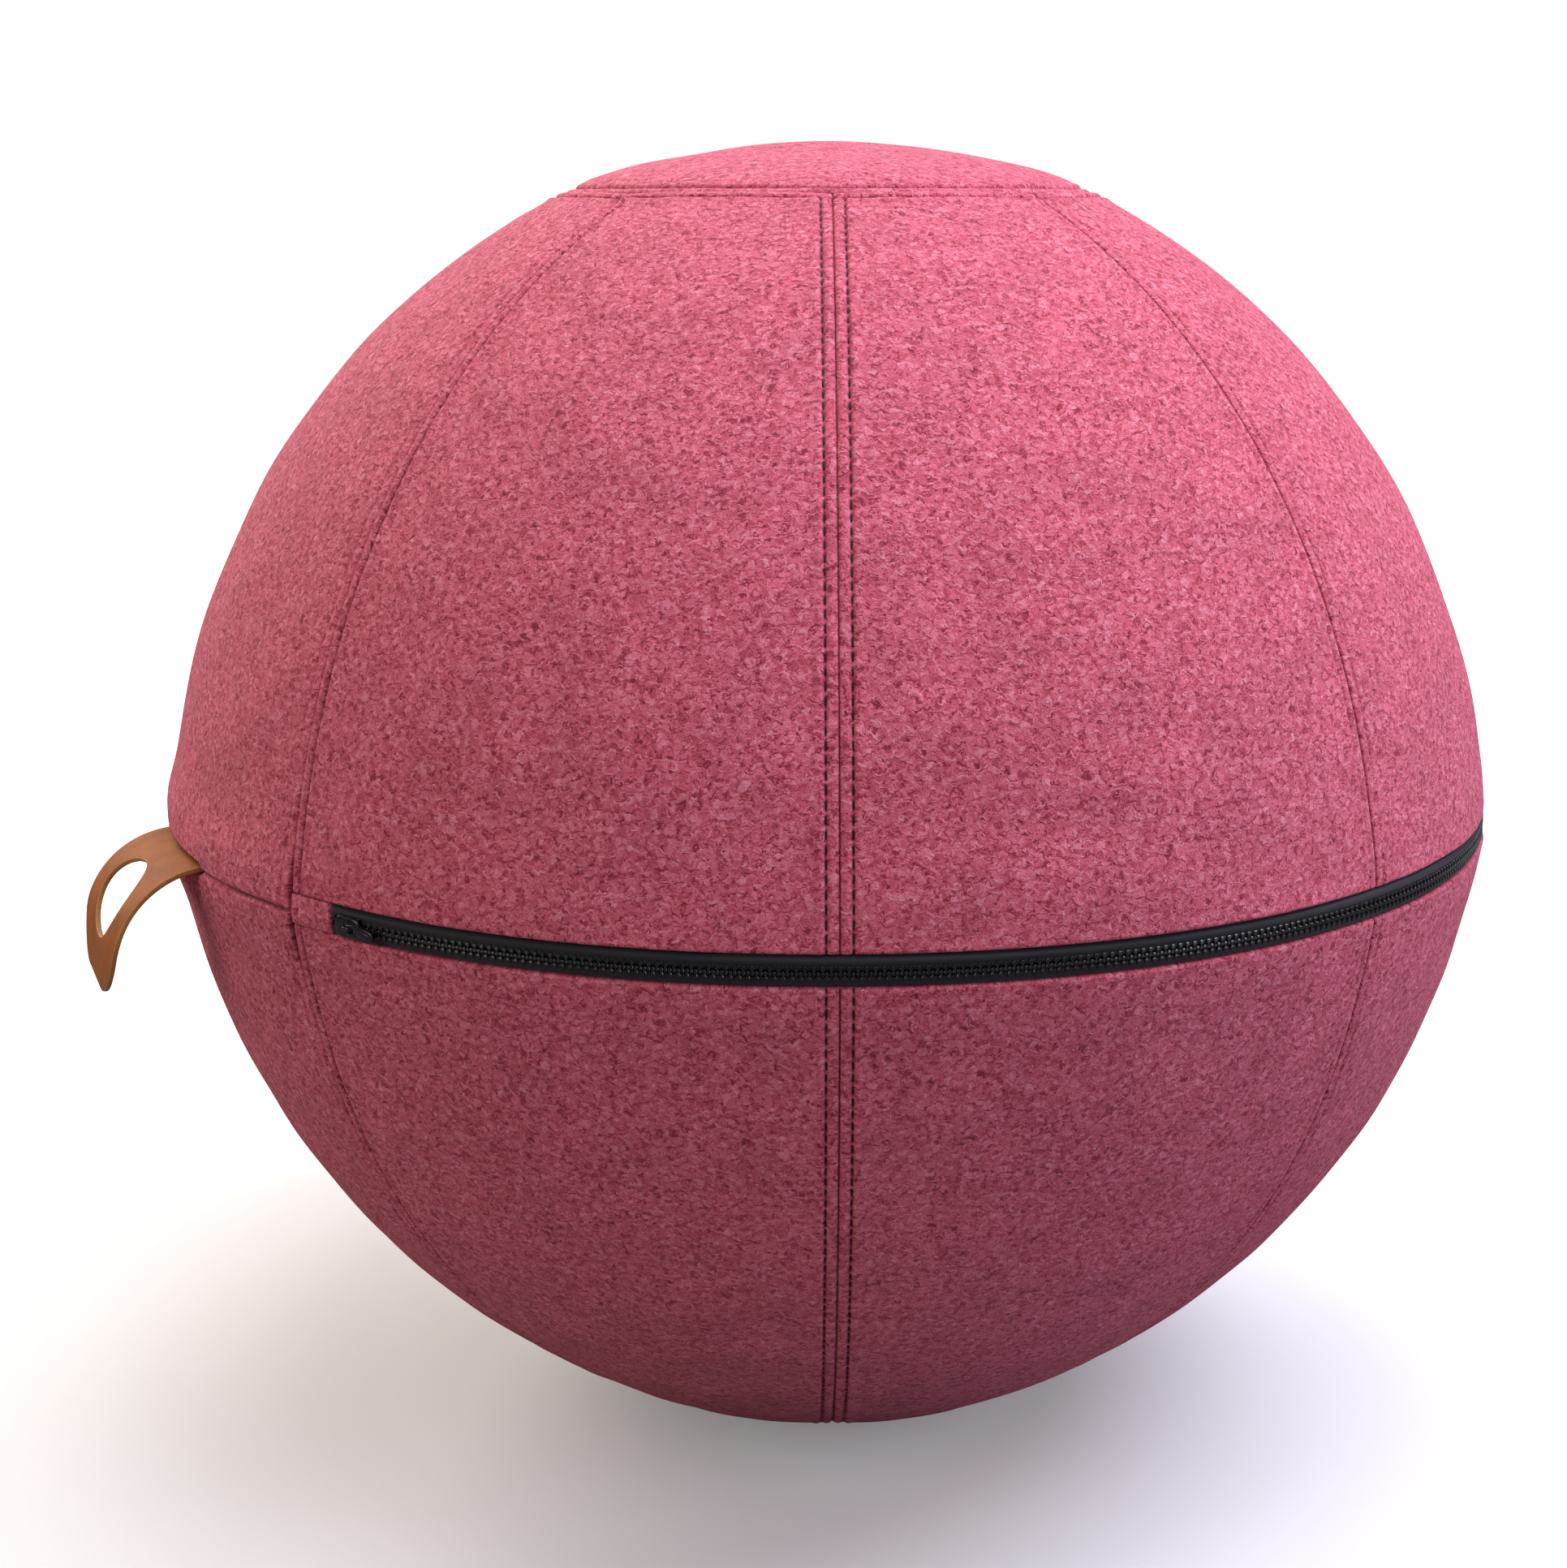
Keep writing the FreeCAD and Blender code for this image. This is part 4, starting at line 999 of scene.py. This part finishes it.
def make_puller():
    """The puller: a long tab with a hole round the arch and a raised grip."""
    outer = superellipse(7.9, 2.6, 3.0, 64, taper=-0.06, centre=(7.1, 0.0))
    hole = superellipse(1.75, 1.15, 2.6, 64, centre=(PULLER_EYE, 0.0))
    angle = np.arctan2(outer[:, 1] - hole[:, 1].mean(), outer[:, 0] - PULLER_EYE)
    reach = np.arctan2(hole[:, 1], hole[:, 0] - PULLER_EYE)
    order = np.argsort(reach)
    wrapped = np.r_[reach[order] - 2 * math.pi, reach[order], reach[order] + 2 * math.pi]
    hole = np.column_stack(read(np.tile(hole[order], (3, 1)), wrapped, angle))
    points, faces, _ = ring_plate(outer, hole, 1.3, 0.3, 8, dome=0.12)
    grip = disc_plate(superellipse(3.2, 1.35, 2.6, 40, centre=(9.8, 0.0)), 0.5, 0.2, dome=0.25)
    points, faces = joined([(points, faces), lifted_to(0.6, grip)])
    x, y = points[:, 0].copy(), points[:, 1].copy()
    points[:, 0] = x * math.cos(PULLER_DROOP) + y * math.sin(PULLER_DROOP)
    points[:, 1] = y * math.cos(PULLER_DROOP) - x * math.sin(PULLER_DROOP)
    points = points + (1.2, 0.0, 312.25)
    piece = new_piece("zip_puller_tab", on_slider(points), faces, enamel)
    finish_piece(piece, "puller", "zip_metal", "zip_puller")


# --- leather handle ---
LEATHER = 2.2
BEND_R, BEND_START, BEND_ANGLE, TIP_LENGTH = 42.0, 305.3, 82.0, 18.0
PIVOT_R, ROOT_R = 313.2, 301.0
ROOT_WIDTH, TIP_WIDTH, CORNER_R = 78.0, 90.0, 24.0
SLOT_ANGLE, SLOT_HALF = 54.6, (18.4, 25.0)


def make_handle():
    """Leather tab: a plate with a slot, laid along a line that leaves the seam and bends down."""
    straight_in, bend = BEND_START - ROOT_R, BEND_R * math.radians(BEND_ANGLE)
    s = np.linspace(0, straight_in + bend + TIP_LENGTH + 6.0, 800)
    turn = np.clip((s - straight_in) / BEND_R, 0, math.radians(BEND_ANGLE))
    heading = np.column_stack([np.cos(turn), -np.sin(turn)])
    steps = (heading[1:] + heading[:-1]) / 2 * np.diff(s)[:, None]
    path = np.array([ROOT_R, 0.0]) + np.vstack([[0, 0], np.cumsum(steps, 0)])
    outward = np.column_stack([np.sin(turn), np.cos(turn)])
    pivot = np.array([PIVOT_R, np.interp(PIVOT_R, path[:200, 0], path[:200, 1])])
    slope = math.radians(SLOT_ANGLE)
    q = (path - pivot) @ np.array([math.cos(slope), -math.sin(slope)])
    length = float(np.interp(straight_in + bend + TIP_LENGTH, s, q))
    slot_q = float(np.interp(straight_in + BEND_R * slope, s, q))

    root, tip, straight = ROOT_WIDTH / 2, TIP_WIDTH / 2, length - CORNER_R
    round_turn = np.radians(np.linspace(0, 90, 14))
    corner = np.column_stack([straight + CORNER_R * np.sin(round_turn),
                              tip - CORNER_R + CORNER_R * np.cos(round_turn)])
    side = np.linspace(q[0], straight, 26)[:-1]
    side = np.column_stack([side, root + (tip - root) * (side - q[0]) / (straight - q[0])])
    front = np.column_stack([np.full(14, length), np.linspace(tip - CORNER_R, CORNER_R - tip, 14)])[1:-1]
    back = np.column_stack([np.full(22, q[0]), np.linspace(-root, root, 22)])[1:-1]
    mirror = np.array([1, -1])
    outline = np.vstack([side, corner, front, (corner * mirror)[::-1], (side * mirror)[::-1], back])
    angle = np.arctan2(outline[:, 1], outline[:, 0] - slot_q)
    half_out, half_wide = SLOT_HALF
    reach = half_out * half_wide / np.hypot(half_wide * np.cos(angle), half_out * np.sin(angle))
    slot = np.array([slot_q, 0.0]) + reach[:, None] * np.column_stack([np.cos(angle), np.sin(angle)])

    points, faces, kind = ring_plate(outline, slot, LEATHER, 0.5, 16)
    at = np.interp(points[:, 0], q, s)
    spot, normal = np.column_stack(read(path, s, at)), np.column_stack(read(outward, s, at))
    sag = 0.5 * np.sin(points[:, 1] / 21.0) * fade(at, 20, 60)
    spot = spot + normal * (points[:, 2] + sag)[:, None]
    world = beside(HANDLE_AZIMUTH, spot[:, 0], points[:, 1], spot[:, 1])
    attributes = {"cloth": np.column_stack([at, points[:, 1:]]), "worn": 0.4 * fade(at, 58, 82)}
    piece = new_piece("leather_handle", world, faces, [leather, cut_edge, nap], attributes)
    piece.data.polygons.foreach_set("material_index", kind)
    finish_piece(piece, None, "leather", "handle_root", "handle_tab")
    ends = np.array([pivot - (4.5, 0.0), pivot + (9.0, -1.0)])
    start, end = beside(HANDLE_AZIMUTH, ends[:, 0], 0 * ends[:, 0], ends[:, 1]).tolist()
    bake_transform(piece)


# --- the ball's pieces ---
for number in range(1, GORES + 1):
    make_gore("upper", number, UPPER)
    make_gore("lower", number, LOWER)
make_cap("top_felt_cap", CROWN, "top_cap")
make_cap("bottom_felt_cap", SOLE, "bottom_cap")
make_stitches("upper", UPPER, CROWN, "top")
make_stitches("lower", LOWER, SOLE, "bottom")
make_tape("upper", 1)
make_tape("lower", -1)
make_chain()
make_facing("left_zip_facing", ZIP_START, ZIP_START + ZIP_FACING, "zip_facing_left", True)
make_facing("right_zip_facing", ZIP_END - ZIP_FACING, ZIP_END, "zip_facing_right", False)
make_slider()
make_puller()
make_handle()
for node, finish, group in (("inner_bladder", bladder_vinyl, "bladder"),
                            ("valve_seat", valve_vinyl, "valve"), ("valve_plug", valve_vinyl, "valve")):
    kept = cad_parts[node]
    kept.data.materials.clear()
    kept.data.materials.append(finish)


# --- floor, light and camera ---
def make_floor():
    g = new_material("pale_floor")
    where = g.add("TexCoord", output="Object")
    mottle = g.noise(where, 3.0, 4.0, 0.5)
    tone = g.mix(mottle, (0.86, 0.86, 0.86), (0.90, 0.90, 0.895))
    distance = g.add("VectorMath", {0: where}, operation="LENGTH", output="Value")
    glow = g.step(distance, 0.6, 3.0, (0.16, 1.0))
    seen = g.add("LightPath", output="Is Camera Ray")
    g.surface(Base_Color=g.mix(seen, (0.16, 0.15, 0.15), tone), Roughness=0.75,
              Emission_Color=(1.0, 1.0, 1.0), Emission_Strength=g.math("MULTIPLY", seen, glow),
              Normal=g.bump(g.noise(where, 60.0, 3.0, 0.5), 0.0004, 0.2))
    rings, steps = np.r_[0.05, np.linspace(0.3, 9.0, 30)], 96
    turn = full_turn(steps)
    points = [np.column_stack([r * np.cos(turn), r * np.sin(turn), 0 * turn]) for r in rings]
    faces = grid_faces(len(rings), steps, 0, True).tolist() + [list(range(steps))]
    floor = new_piece("studio_floor", np.vstack(points) - (0, 0, 0.0006), faces, g.owner)


LIGHT_AIM = (0.0, 0.0, 0.3)
LIGHTS = {                     # place, size, watts and tint
    "overhead": ((0.0, -0.2, 2.6), 1.6, 26.0, (1.0, 1.0, 1.02)),
    "key": ((1.4, 0.0, 2.1), 1.6, 37.0, (0.97, 1.0, 1.22)),
    "fill_right": ((1.9, -1.2, 0.9), 1.4, 13.0, (0.94, 0.97, 1.22)),
    "fill_left": ((-1.9, -1.2, 0.9), 1.4, 11.0, (1.0, 0.94, 0.84)),
    "back_left": ((-1.6, 1.6, 1.3), 1.6, 35.0, (1.0, 0.95, 0.86)),
    "back": ((0.2, 1.5, 2.0), 1.6, 9.0, (1.0, 1.0, 1.0)),
}


def area_light(name, spot, size, power, tint):
    data = bpy.data.lights.new(name, "AREA")
    data.shape, data.size, data.energy, data.color = "DISK", size, power, tint
    lamp = bpy.data.objects.new(name, data)
    lamp.location = spot
    lamp.rotation_mode = "QUATERNION"
    lamp.rotation_quaternion = (Vector(LIGHT_AIM) - Vector(spot)).to_track_quat("-Z", "Y")
    bpy.context.scene.collection.objects.link(lamp)


SKY_STRENGTH = (0.19, 0.22)
SKY_LEFT, SKY_RIGHT = (1.0, 0.92, 0.82), (0.95, 0.98, 1.2)


def make_world():
    """White to the camera; as light, a weak sky that is warm on the left and cool on the right."""
    world = bpy.data.worlds.new("studio")
    g = Graph(world)
    facing = g.add("SeparateXYZ", {0: g.add("TexCoord", output="Generated")}).node.outputs
    strength = g.add("MapRange", dict(enumerate((facing["Z"], -0.1, 1.0, *SKY_STRENGTH))))
    sideways = g.add("MapRange", {0: facing["X"], 1: -0.9, 2: 0.9})
    lit = g.add("Background", {"Color": g.mix(sideways, SKY_LEFT, SKY_RIGHT), "Strength": strength})
    white = g.add("Background", {"Color": (1.0, 1.0, 1.0), "Strength": 1.0})
    seen = g.add("LightPath", output="Is Camera Ray")
    both = g.add("MixShader", {0: seen, 1: lit, 2: white})
    g.put(g.tree.nodes["World Output"].inputs["Surface"], both)
    bpy.context.scene.world = world


CAMERA_TURN, CAMERA_TILT = math.radians(-0.8), math.radians(13.01)
CAMERA_DISTANCE = 3.957 * RIDGE_R * MM
LENS, SHIFT_X, SHIFT_Y = 57.73, -0.0286, 0.00105


def make_camera():
    centre = Vector((0.0, 0.0, EQUATOR_Z * MM))
    level = math.cos(CAMERA_TILT)
    back = Vector((math.sin(CAMERA_TURN) * level, -math.cos(CAMERA_TURN) * level, math.sin(CAMERA_TILT)))
    data = bpy.data.cameras.new("camera")
    data.sensor_width, data.lens = 36.0, LENS
    data.shift_x, data.shift_y = SHIFT_X, SHIFT_Y
    camera = bpy.data.objects.new("camera", data)
    camera.location = centre + back * CAMERA_DISTANCE
    camera.rotation_mode = "QUATERNION"
    camera.rotation_quaternion = (-back).to_track_quat("-Z", "Y")
    bpy.context.scene.collection.objects.link(camera)
    bpy.context.scene.camera = camera


make_floor()
make_world()
for name, setting in LIGHTS.items():
    area_light(name, *setting)
make_camera()
bpy.context.scene.view_settings.view_transform = "Standard"

bpy.context.view_layer.update()
